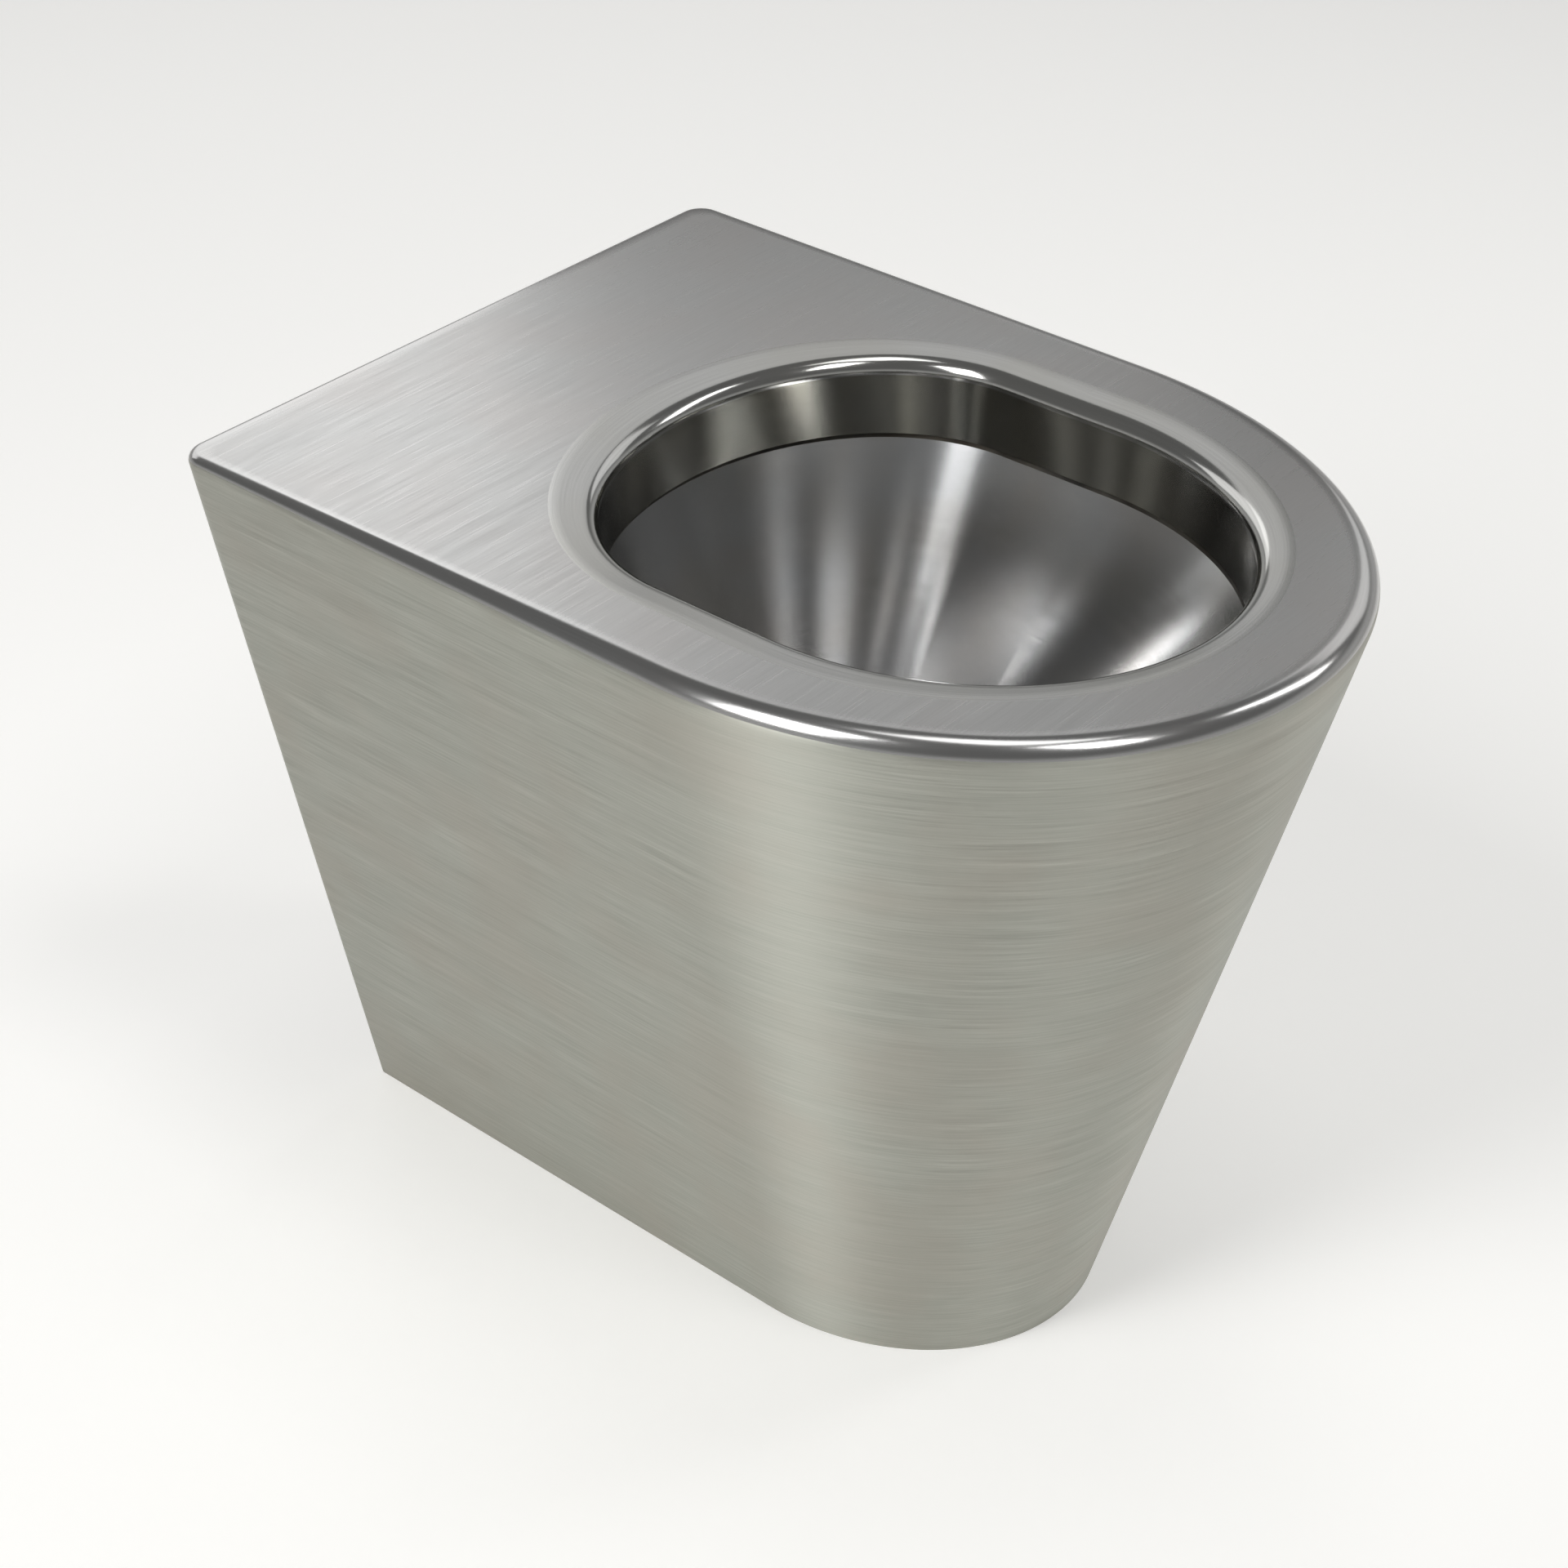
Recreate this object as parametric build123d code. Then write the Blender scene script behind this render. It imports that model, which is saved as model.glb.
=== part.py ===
from build123d import *

import math
import os

# Floor-standing stainless steel toilet pan of the kind used in cells. Millimetres.
# Origin on the floor below the middle of the outer box. +Z up, +Y to the wall, +X to the
# right for someone who stands in front of it.

# Casing, outside
WIDTH = 348.0
DEPTH = 484.0
HEIGHT = 410.0
SIDE_LEAN = 11.25
FRONT_LEAN = 13.85
FRONT_ROUND = 205.0
CORNER_R = 13.0
FOOT_ROUND = 110.0
FOOT_CORNER_R = 2.5
SHEET = 1.5
EDGE_R = 5.0
LIP_DROP = 12.0
RETURN_WIDTH = 28.0
RETURN_LAP = 1.0

# Opening in the deck, with the sloped ring round it and the wall that hangs from it
SIDE_BORDER = 56.0
OPENING_FRONT_ROUND = 133.0
OPENING_STRAIGHT = 60.0
OPENING_REAR_ROUND = 94.5
FRONT_BORDER = 53.5
RING_SIDE = 17.0
RING_FRONT = 12.0
RING_REAR = 21.5
RING_DROP = 1.4
ROLL_R = 7.5
RIM_DEPTH = 39.0

# Flush channel under the deck, fed by a box and a pipe from the wall
RIM_GAP = 2.2
RIM_OVERLAP = 1.5
CHANNEL_WIDTH = 22.0
CHANNEL_WINDOW_WIDTH = 76.0
CHANNEL_WINDOW_EDGE = 5.0
INLET_BOX_WIDTH = 95.0
INLET_BOX_LENGTH = 45.0
INLET_BOX_TUCK = 12.0
INLET_DROP = 60.0
INLET_BORE = 55.0
INLET_SETBACK = 10.0
INLET_BOX_MARGIN = 3.0
SEAL_BORE = 44.0
SEAL_LENGTH = 25.0
SEAL_HEAD = 4.0
SEAL_HEAD_LAP = 3.5
SEAL_CLEARANCE = 0.1

# Bowl and trap
THROAT_Y = 3.5
THROAT_Z = 200.0
THROAT_SIDE_ANGLE = 18.0
TRAP_BORE = 85.0
TRAP_BEND_R = 55.0
TRAP_FLOOR_GAP = 7.0
TRAP_JOINT_RISE = 12.0
TRAP_RISE = 12.0
TRAP_RUN = 12.0
OUTLET_OUTSIDE = 102.0
OUTLET_TAPER = 12.0
OUTLET_LENGTH = 40.0

# Rails across the back, with nuts for the bolts that come through the wall
RAIL_THICK = 3.0
RAIL_HEIGHT = 36.0
RAIL_LIP = 25.0
RAIL_END_INSET = 12.0
WALL_BOLT_LOW_Z = 50.0
WALL_BOLT_END_GAP = 17.9
UPPER_BOLT_RISE = 54.0
WALL_BOLT_R = 6.0
NUT_FLATS = 19.0
NUT_THICK = 10.0

# Feet inside the casing
FOOT_ANGLE_THICK = 3.0
FOOT_ANGLE_RISE = 25.0
FOOT_ANGLE_REACH = 32.0
FOOT_ANGLE_SETBACK = 7.3
FOOT_ANGLE_WALL_GAP = 17.0
FLOOR_HOLE_R = 5.5
FLOOR_HOLE_INSET = 17.0
FLOOR_HOLE_END_GAP = 35.0
TIE_WIDTH = 40.0
SADDLE_TIE_WIDTH = 24.0
SADDLE_WIDTH = 80.0
SADDLE_THICK = 3.0
SADDLE_WRAP = 16.0
SADDLE_CLEARANCE = 0.2
PAD_LENGTH = 30.0
PAD_WIDTH = 40.0
PAD_HEIGHT = 12.0
PAD_CLEARANCE = 0.3

# Stiffening and damping
STIFFENER_DEPTH = 20.0
STIFFENER_WEB = 26.0
STIFFENER_FLANGE = 12.0
STIFFENER_THICK = 2.0
STIFFENER_WALL_GAP = 12.5
STIFFENER_END_INSET = 40.0
GUSSET_THICK = 2.0
GUSSET_SETBACK = 8.0
GUSSET_HEAD_GAP = 4.5
GUSSET_HEAD = 15.0
GUSSET_DROP = 40.0
GUSSET_CLEARANCE = 0.1
DAMPER_THICK = 3.0
DAMPER_LOW_Z = 60.0
DAMPER_HIGH_Z = 320.0
DAMPER_SETBACK = 12.0
DAMPER_WALL_GAP = 52.0

# Earth bond on the upper rail
EARTH_END_GAP = 30.0
EARTH_STUD_R = 3.0
EARTH_STUD_LENGTH = 18.0
EARTH_WASHER_R = 6.4
EARTH_WASHER_THICK = 1.6
EARTH_NUT_FLATS = 10.0
EARTH_NUT_THICK = 5.0
EARTH_TAG_LENGTH = 30.0
EARTH_TAG_THICK = 1.0
EARTH_FIT = 0.1

# How near two heights lie when they count as one level
LEVEL_TOLERANCE = 0.001

# Worked out from the sizes above
WALL_Y = DEPTH / 2
OPENING_WIDTH = WIDTH - 2 * SIDE_BORDER
INLET_Z = HEIGHT - INLET_DROP
SIDE_SLOPE = math.tan(math.radians(SIDE_LEAN))
FRONT_SLOPE = math.tan(math.radians(FRONT_LEAN))
SHEET_ACROSS = SHEET * math.hypot(1.0, SIDE_SLOPE)
DECK_UNDER_Z = HEIGHT - SHEET
LIP_Z = HEIGHT - LIP_DROP
RETURN_FACE_Y = WALL_Y - SHEET
RAIL_FACE_Y = RETURN_FACE_Y - RAIL_THICK
OPENING_FRONT_Y = FRONT_BORDER - DEPTH / 2
OPENING_LOW_Y = OPENING_FRONT_Y + OPENING_FRONT_ROUND
OPENING_HIGH_Y = OPENING_LOW_Y + OPENING_STRAIGHT
RIM_Z = HEIGHT - RIM_DEPTH
FLANGE_Z = RIM_Z + RIM_OVERLAP
MOUTH_OFFSET = SHEET + RIM_GAP
CHANNEL_IN = SHEET + CHANNEL_WIDTH
CHANNEL_OUT = CHANNEL_IN + SHEET
CHANNEL_REAR_Y = OPENING_HIGH_Y + OPENING_REAR_ROUND + CHANNEL_OUT
INLET_BOX_REAR_Y = CHANNEL_REAR_Y + INLET_BOX_LENGTH
INLET_BOX_Z = INLET_Z - INLET_BORE / 2 - SHEET - INLET_BOX_MARGIN
INLET_END_Y = WALL_Y - INLET_SETBACK
TRAP_R = TRAP_BORE / 2 + SHEET
TRAP_TURN_Z = TRAP_FLOOR_GAP + TRAP_R + TRAP_BEND_R
TRAP_RISER_Y = THROAT_Y + 2 * TRAP_BEND_R
TRAP_JOINT_Z = TRAP_TURN_Z + TRAP_JOINT_RISE
RISER_TURN_Z = TRAP_JOINT_Z + TRAP_RISE
OUTLET_Z = RISER_TURN_Z + TRAP_BEND_R
TRAP_END_Y = TRAP_RISER_Y + TRAP_BEND_R + TRAP_RUN
OUTLET_R = OUTLET_OUTSIDE / 2
WALL_BOLT_HIGH_Z = OUTLET_Z + OUTLET_R + UPPER_BOLT_RISE


def bent_away(slope):
    """How far the rounded edge of the deck falls short of the sharp corner it was bent from."""
    return EDGE_R * (slope + math.hypot(1.0, slope) - 1.0)


def half_width(z):
    """Half the casing's outside width at height z: its sides lean in towards the floor."""
    return WIDTH / 2 + bent_away(SIDE_SLOPE) - SIDE_SLOPE * (HEIGHT - z)


def front_y(z):
    """Outside of the casing's front at height z."""
    return -DEPTH / 2 - bent_away(FRONT_SLOPE) + FRONT_SLOPE * (HEIGHT - z)


def front_round(z):
    """Depth of the casing's round front at height z."""
    return FOOT_ROUND + (FRONT_ROUND - FOOT_ROUND) * z / HEIGHT


def corner_radius(z):
    """Radius of the casing's corners at the wall at height z."""
    return FOOT_CORNER_R + (CORNER_R - FOOT_CORNER_R) * z / HEIGHT


def flat_side_y(z):
    """Where the casing's flat sides begin, behind the round front, at height z."""
    return front_y(z) + front_round(z)


def casing_plan(z, depth=0.0):
    """Face of the casing's plan at height z, that deep below its surface: straight sides,
    rounded corners at the wall and half an ellipse in front."""
    inset = depth * math.hypot(1.0, SIDE_SLOPE)
    round_depth = front_round(z)
    corner = corner_radius(z) - depth
    middle_y = flat_side_y(z)
    side = half_width(z) - inset
    rear = WALL_Y - depth
    edges = [
        Line((side, middle_y), (side, rear - corner)),
        CenterArc((side - corner, rear - corner), corner, 0, 90),
        Line((side - corner, rear), (corner - side, rear)),
        CenterArc((corner - side, rear - corner), corner, 90, 90),
        Line((-side, rear - corner), (-side, middle_y)),
        EllipticalCenterArc((0, middle_y), side, round_depth - inset, 180, arc_size=90),
        EllipticalCenterArc((0, middle_y), side, round_depth - inset, 270, arc_size=90),
    ]
    return Pos(0, 0, z) * Face(Wire(edges))


def oval_plan(z, side, front, rear):
    """Face at height z with straight sides and half ellipses of those reaches at its ends."""
    edges = [
        Line((side, OPENING_LOW_Y), (side, OPENING_HIGH_Y)),
        EllipticalCenterArc((0, OPENING_HIGH_Y), side, rear, 0, arc_size=90),
        EllipticalCenterArc((0, OPENING_HIGH_Y), side, rear, 90, arc_size=90),
        Line((-side, OPENING_HIGH_Y), (-side, OPENING_LOW_Y)),
        EllipticalCenterArc((0, OPENING_LOW_Y), side, front, 180, arc_size=90),
        EllipticalCenterArc((0, OPENING_LOW_Y), side, front, 270, arc_size=90),
    ]
    return Pos(0, 0, z) * Face(Wire(edges))


def oval(z, offset):
    """Face at height z, that far outside the oval opening of the rim."""
    side = OPENING_WIDTH / 2 + offset
    return oval_plan(z, side, OPENING_FRONT_ROUND + offset, OPENING_REAR_ROUND + offset)


def ring_edge(z):
    """Face at height z inside the ring's outer edge, which is widest behind the opening."""
    side = OPENING_WIDTH / 2 + RING_SIDE
    return oval_plan(z, side, OPENING_FRONT_ROUND + RING_FRONT, OPENING_REAR_ROUND + RING_REAR)


def throat(z, radius):
    """Round face at height z, in as many arcs as the oval has edges."""
    turn = THROAT_SIDE_ANGLE
    starts = [-turn, turn, 90, 180 - turn, 180 + turn, 270]
    sizes = [2 * turn, 90 - turn, 90 - turn, 2 * turn, 90 - turn, 90 - turn]
    edges = [CenterArc((0, THROAT_Y), radius, start, size) for start, size in zip(starts, sizes)]
    return Pos(0, 0, z) * Face(Wire(edges))


def block(x, y, z):
    """Box between the low and high limits on each axis."""
    size = [high - low for low, high in (x, y, z)]
    middle = [(high + low) / 2 for low, high in (x, y, z)]
    return Pos(*middle) * Box(*size)


def prism_along_y(points, low_y, high_y):
    """Solid of an outline of (x, z) points, from one y to another."""
    face = Plane.XZ * Face(Wire(Polyline(*points, close=True).edges()))
    return Pos(0, high_y, 0) * extrude(face, high_y - low_y, dir=(0, -1, 0))


def prism_along_x(points, low_x, high_x):
    """Solid of an outline of (y, z) points, from one x to another."""
    face = Plane.YZ * Face(Wire(Polyline(*points, close=True).edges()))
    return Pos(low_x, 0, 0) * extrude(face, high_x - low_x, dir=(1, 0, 0))


def rod_along_y(x, z, radius, low_y, high_y):
    """Round bar from one y to another."""
    return Pos(x, (low_y + high_y) / 2, z) * Rot(X=90) * Cylinder(radius, high_y - low_y)


def tube_along(path, outside_r, wall):
    """Pipe of a round section along a path in the middle plane."""
    start = Plane(origin=path @ 0, x_dir=(1, 0, 0), z_dir=path % 0)
    return sweep(start * (Circle(outside_r) - Circle(outside_r - wall)), path=path)


def opening_form(offset, top_z, roll):
    """What the rim leaves open: a shallow funnel for the ring, rolled into an upright well."""
    well_top = top_z - RING_DROP
    funnel = loft([oval(well_top, offset), ring_edge(top_z)], ruled=True)
    well = extrude(oval(RIM_Z, offset), well_top - RIM_Z)
    form = well + funnel
    crease = form.edges().filter_by_position(
        Axis.Z, well_top - LEVEL_TOLERANCE, well_top + LEVEL_TOLERANCE
    )
    return fillet(crease, roll)


def deck():
    """Pressed top: flat sheet, edge bent down all round, sloped ring and hanging rim wall."""
    slab = loft([casing_plan(LIP_Z), casing_plan(HEIGHT)], ruled=True)
    slab = fillet(slab.faces().sort_by(Axis.Z)[-1].edges(), EDGE_R)
    under = loft([casing_plan(LIP_Z, SHEET), casing_plan(DECK_UNDER_Z, SHEET)], ruled=True)
    under = fillet(under.faces().sort_by(Axis.Z)[-1].edges(), EDGE_R - SHEET)
    well = extrude(oval(RIM_Z, SHEET), LIP_Z - RIM_Z)
    under -= opening_form(SHEET, DECK_UNDER_Z, ROLL_R - SHEET)
    above = extrude(ring_edge(HEIGHT), SHEET)
    return slab + well - under - opening_form(0.0, HEIGHT, ROLL_R) - above


def side_skirt():
    """Apron: one sheet round both sides and the front, with a flat return along the wall."""
    outside = loft([casing_plan(0.0), casing_plan(LIP_Z)], ruled=True)
    inside = loft([casing_plan(0.0, SHEET), casing_plan(LIP_Z, SHEET)], ruled=True)
    low_bend = half_width(0.0) - corner_radius(0.0) - RETURN_LAP
    high_bend = half_width(LIP_Z) - corner_radius(LIP_Z) - RETURN_LAP
    low = half_width(0.0) - RETURN_WIDTH
    high = half_width(LIP_Z) - RETURN_WIDTH
    rear = [(-low_bend, 0), (low_bend, 0), (high_bend, LIP_Z), (-high_bend, LIP_Z)]
    skirt = outside - inside - prism_along_y(rear, 0.0, WALL_Y)
    for side in (-1, 1):
        outline = [(low, 0), (low_bend, 0), (high_bend, LIP_Z), (high, LIP_Z)]
        mirrored = [(side * x, z) for x, z in outline]
        skirt += prism_along_y(mirrored, RETURN_FACE_Y, WALL_Y)
    return skirt


def bowl_form(offset, radius):
    """Solid from a round throat up to an oval mouth, that far outside the opening."""
    return loft([throat(THROAT_Z, radius), oval(FLANGE_Z, offset)], ruled=True)


def bowl_outside():
    """What the bowl's cone fills, with its sheet."""
    cone_reach = OPENING_WIDTH / 2 + MOUTH_OFFSET - TRAP_BORE / 2
    cone_across = SHEET * math.hypot(1.0, cone_reach / (FLANGE_Z - THROAT_Z))
    return bowl_form(MOUTH_OFFSET + cone_across, TRAP_R)


def bowl():
    """Basin: a cone from the oval mouth under the rim wall down to a round throat."""
    return bowl_outside() - bowl_form(MOUTH_OFFSET, TRAP_BORE / 2)


def channel_floor():
    """Flat ring welded round the bowl's mouth: the floor of the flush channel."""
    return extrude(oval(FLANGE_Z - SHEET, CHANNEL_OUT), SHEET) - bowl_outside()


def flush_channel():
    """Outer wall of the ring channel, with a window for the water from the inlet box."""
    height = DECK_UNDER_Z - FLANGE_Z
    ring = extrude(oval(FLANGE_Z, CHANNEL_OUT) - oval(FLANGE_Z, CHANNEL_IN), height)
    half = CHANNEL_WINDOW_WIDTH / 2
    heights = (FLANGE_Z + CHANNEL_WINDOW_EDGE, DECK_UNDER_Z - CHANNEL_WINDOW_EDGE)
    return ring - block((-half, half), (OPENING_HIGH_Y, CHANNEL_REAR_Y + SHEET), heights)


def flush_inlet_box():
    """Folded box between the inlet pipe and the channel. The deck closes its top."""
    half = INLET_BOX_WIDTH / 2
    front = CHANNEL_REAR_Y - INLET_BOX_TUCK
    depth = (front, INLET_BOX_REAR_Y)
    outside = block((-half, half), depth, (INLET_BOX_Z, DECK_UNDER_Z))
    inside = block(
        (SHEET - half, half - SHEET),
        (front + SHEET, INLET_BOX_REAR_Y - SHEET),
        (INLET_BOX_Z + SHEET, DECK_UNDER_Z),
    )
    rim = extrude(oval(FLANGE_Z - SHEET, CHANNEL_OUT), DECK_UNDER_Z - FLANGE_Z + SHEET)
    rear_wall_y = INLET_BOX_REAR_Y - SHEET
    hole = rod_along_y(0, INLET_Z, INLET_BORE / 2, rear_wall_y, INLET_BOX_REAR_Y)
    return outside - inside - rim - hole


def flush_inlet_pipe():
    """Spigot that carries the flush water to the box."""
    outside = rod_along_y(0, INLET_Z, INLET_BORE / 2 + SHEET, INLET_BOX_REAR_Y, INLET_END_Y)
    return outside - rod_along_y(0, INLET_Z, INLET_BORE / 2, INLET_BOX_REAR_Y, INLET_END_Y)


def flush_inlet_seal():
    """Rubber sleeve in the spigot that grips the flush pipe, with a head at its end."""
    start = INLET_END_Y - SEAL_LENGTH
    end = INLET_END_Y + SEAL_HEAD
    sleeve = rod_along_y(0, INLET_Z, INLET_BORE / 2 - SEAL_CLEARANCE, start, INLET_END_Y)
    head = rod_along_y(0, INLET_Z, INLET_BORE / 2 + SEAL_HEAD_LAP, INLET_END_Y, end)
    return sleeve + head - rod_along_y(0, INLET_Z, SEAL_BORE / 2, start, end)


def trap_inlet_leg():
    """Straight pipe from the bowl's throat down into the trap."""
    height = THROAT_Z - TRAP_TURN_Z
    pipe = Cylinder(TRAP_R, height) - Cylinder(TRAP_BORE / 2, height)
    return Pos(0, THROAT_Y, (THROAT_Z + TRAP_TURN_Z) / 2) * pipe


def trap_u_bend():
    """Bottom of the trap: half a turn, and up to the joint with the riser."""
    low = TRAP_TURN_Z - TRAP_BEND_R
    middle = (0, THROAT_Y + TRAP_BEND_R, low)
    turn = ThreePointArc((0, THROAT_Y, TRAP_TURN_Z), middle, (0, TRAP_RISER_Y, TRAP_TURN_Z))
    up = Line((0, TRAP_RISER_Y, TRAP_TURN_Z), (0, TRAP_RISER_Y, TRAP_JOINT_Z))
    return tube_along(Wire([turn, up]), TRAP_R, SHEET)


def trap_riser():
    """Second part of the trap: up over the weir and back to the wall."""
    far = TRAP_RISER_Y + TRAP_BEND_R
    slant = TRAP_BEND_R * math.sqrt(0.5)
    up = Line((0, TRAP_RISER_Y, TRAP_JOINT_Z), (0, TRAP_RISER_Y, RISER_TURN_Z))
    middle = (0, far - slant, RISER_TURN_Z + slant)
    turn = ThreePointArc((0, TRAP_RISER_Y, RISER_TURN_Z), middle, (0, far, OUTLET_Z))
    run = Line((0, far, OUTLET_Z), (0, TRAP_END_Y, OUTLET_Z))
    return tube_along(Wire([up, turn, run]), TRAP_R, SHEET)


def outlet_spigot():
    """Outlet that widens from the trap's size to the soil connector's."""
    wide = TRAP_END_Y + OUTLET_TAPER
    end = wide + OUTLET_LENGTH
    profile = [
        (TRAP_R, TRAP_END_Y),
        (OUTLET_R, wide),
        (OUTLET_R, end),
        (OUTLET_R - SHEET, end),
        (OUTLET_R - SHEET, wide),
        (TRAP_R - SHEET, TRAP_END_Y),
    ]
    face = Face(Wire(Polyline(*profile, close=True).edges()))
    return Pos(0, 0, OUTLET_Z) * revolve(face, Axis.Y)


def wall_bolt_x():
    """Half the distance between the wall bolts, set by the ends of the lower rail."""
    rail_end = half_width(WALL_BOLT_LOW_Z - RAIL_HEIGHT / 2) - RAIL_END_INSET
    return rail_end - WALL_BOLT_END_GAP


def wall_rail(bolt_z):
    """Angle across the back at the height of two bolts, welded to the casing's returns."""
    low = bolt_z - RAIL_HEIGHT / 2
    high = bolt_z + RAIL_HEIGHT / 2
    narrow = half_width(low) - RAIL_END_INSET
    wide = half_width(high) - RAIL_END_INSET
    plate = prism_along_y(
        [(-narrow, low), (narrow, low), (wide, high), (-wide, high)], RAIL_FACE_Y, RETURN_FACE_Y
    )
    lip = block(
        (-narrow, narrow), (RETURN_FACE_Y - RAIL_LIP, RAIL_FACE_Y), (low, low + RAIL_THICK)
    )
    rail = plate + lip
    for side in (-1, 1):
        x = side * wall_bolt_x()
        rail -= rod_along_y(x, bolt_z, WALL_BOLT_R, RAIL_FACE_Y, RETURN_FACE_Y)
    return rail


def lower_wall_rail():
    """Rail near the floor."""
    return wall_rail(WALL_BOLT_LOW_Z)


def upper_wall_rail():
    """Rail below the flush inlet."""
    return wall_rail(WALL_BOLT_HIGH_Z)


def hex_nut(x, z, flats, bore_r, low_y, high_y):
    """Hexagon nut on an axis along Y."""
    face = RegularPolygon(flats / 2, 6, major_radius=False) - Circle(bore_r)
    return Pos(x, high_y, z) * extrude(Plane.XZ * face, high_y - low_y)


def wall_fixing_nuts():
    """Four nuts welded inside the rails."""
    nuts = []
    for z in (WALL_BOLT_LOW_Z, WALL_BOLT_HIGH_Z):
        for side in (-1, 1):
            x = side * wall_bolt_x()
            start = RAIL_FACE_Y - NUT_THICK
            nuts.append(hex_nut(x, z, NUT_FLATS, WALL_BOLT_R, start, RAIL_FACE_Y))
    return Compound(children=nuts)


def trap_saddle():
    """Plate on the rear tie that carries the trap's run to the wall."""
    half = SADDLE_WIDTH / 2
    rear = TRAP_END_Y - (TRAP_RUN - SADDLE_THICK) / 2
    top_z = OUTLET_Z - TRAP_R + SADDLE_WRAP
    plate = block((-half, half), (rear - SADDLE_THICK, rear), (FOOT_ANGLE_THICK, top_z))
    hollow = TRAP_R + SADDLE_CLEARANCE
    return plate - rod_along_y(0, OUTLET_Z, hollow, rear - SADDLE_THICK, rear)


def floor_angle(side):
    """Angle along one side of the casing's foot, with holes for floor anchors."""
    outer = half_width(0.0) - SHEET_ACROSS
    lean = SIDE_SLOPE * FOOT_ANGLE_RISE
    inner = outer - FOOT_ANGLE_REACH
    wall = outer - FOOT_ANGLE_THICK
    points = [
        (outer, 0.0),
        (outer + lean, FOOT_ANGLE_RISE),
        (wall + lean, FOOT_ANGLE_RISE),
        (wall + SIDE_SLOPE * FOOT_ANGLE_THICK, FOOT_ANGLE_THICK),
        (inner, FOOT_ANGLE_THICK),
        (inner, 0.0),
    ]
    mirrored = [(side * x, z) for x, z in points]
    low_y = flat_side_y(0.0) + FOOT_ANGLE_SETBACK
    high_y = WALL_Y - FOOT_ANGLE_WALL_GAP
    angle = prism_along_y(mirrored, low_y, high_y)
    for y in (low_y + FLOOR_HOLE_END_GAP, high_y - FLOOR_HOLE_END_GAP):
        drill = Cylinder(FLOOR_HOLE_R, 2 * FOOT_ANGLE_THICK)
        angle -= Pos(side * (outer - FLOOR_HOLE_INSET), y, FOOT_ANGLE_THICK) * drill
    return angle


def floor_angle_left():
    """Floor angle on the left."""
    return floor_angle(-1)


def floor_angle_right():
    """Floor angle on the right."""
    return floor_angle(1)


def floor_tie(middle_y, width):
    """Flat strip on the floor between the two angles."""
    half = half_width(0.0) - SHEET_ACROSS - FOOT_ANGLE_REACH
    depth = (middle_y - width / 2, middle_y + width / 2)
    return block((-half, half), depth, (0.0, FOOT_ANGLE_THICK))


def floor_tie_front():
    """Tie under the bottom of the trap."""
    return floor_tie(THROAT_Y + TRAP_BEND_R, TIE_WIDTH)


def floor_tie_rear():
    """Tie under the trap saddle."""
    return floor_tie(TRAP_END_Y - TRAP_RUN / 2, SADDLE_TIE_WIDTH)


def trap_rest_pad():
    """Rubber pad on the tie, hollowed to the bottom of the trap."""
    middle = THROAT_Y + TRAP_BEND_R
    half_x = PAD_WIDTH / 2
    depth = (middle - PAD_LENGTH / 2, middle + PAD_LENGTH / 2)
    pad = block((-half_x, half_x), depth, (FOOT_ANGLE_THICK, FOOT_ANGLE_THICK + PAD_HEIGHT))
    ring = Pos(0, middle, TRAP_TURN_Z) * Rot(Y=90) * Torus(TRAP_BEND_R, TRAP_R + PAD_CLEARANCE)
    return pad - ring


def deck_stiffener():
    """Hat section across the deck's underside, behind the inlet box."""
    half = STIFFENER_WEB / 2
    reach = half + STIFFENER_FLANGE
    inner = half - STIFFENER_THICK
    top = DECK_UNDER_Z
    flange = top - STIFFENER_THICK
    bottom = top - STIFFENER_DEPTH
    outline = [
        (-reach, top),
        (-reach, flange),
        (-half, flange),
        (-half, bottom),
        (half, bottom),
        (half, flange),
        (reach, flange),
        (reach, top),
        (inner, top),
        (inner, bottom + STIFFENER_THICK),
        (-inner, bottom + STIFFENER_THICK),
        (-inner, top),
    ]
    middle = WALL_Y - STIFFENER_WALL_GAP - reach
    end = WIDTH / 2 - STIFFENER_END_INSET
    return prism_along_x([(middle + y, z) for y, z in outline], -end, end)


def gusset_outline(channel, casing):
    """Outline of a gusset, given the channel's face and the casing's inner face by height."""
    top = DECK_UNDER_Z - GUSSET_HEAD_GAP
    shoulder = LIP_Z - SHEET
    toe = FLANGE_Z - SHEET - GUSSET_DROP
    sign = math.copysign(1.0, channel)
    return [
        (channel, top),
        (channel, FLANGE_Z - SHEET),
        (casing(toe), toe),
        (casing(shoulder), shoulder),
        (channel + sign * GUSSET_HEAD, top),
    ]


def side_gusset(side):
    """Gusset between the flush channel and one side of the casing."""
    channel = side * (OPENING_WIDTH / 2 + CHANNEL_OUT)
    outline = gusset_outline(channel, lambda z: side * (half_width(z) - SHEET_ACROSS))
    front = flat_side_y(0.0) + GUSSET_SETBACK
    return prism_along_y(outline, front, front + GUSSET_THICK)


def rim_gusset_left():
    """Gusset on the left."""
    return side_gusset(-1)


def rim_gusset_right():
    """Gusset on the right."""
    return side_gusset(1)


def rim_gusset_front():
    """Gusset in the middle of the front."""
    channel = OPENING_FRONT_Y - CHANNEL_OUT
    outline = gusset_outline(channel, lambda z: front_y(z) + SHEET_ACROSS + GUSSET_CLEARANCE)
    return prism_along_x(outline, -GUSSET_THICK / 2, GUSSET_THICK / 2)


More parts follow.
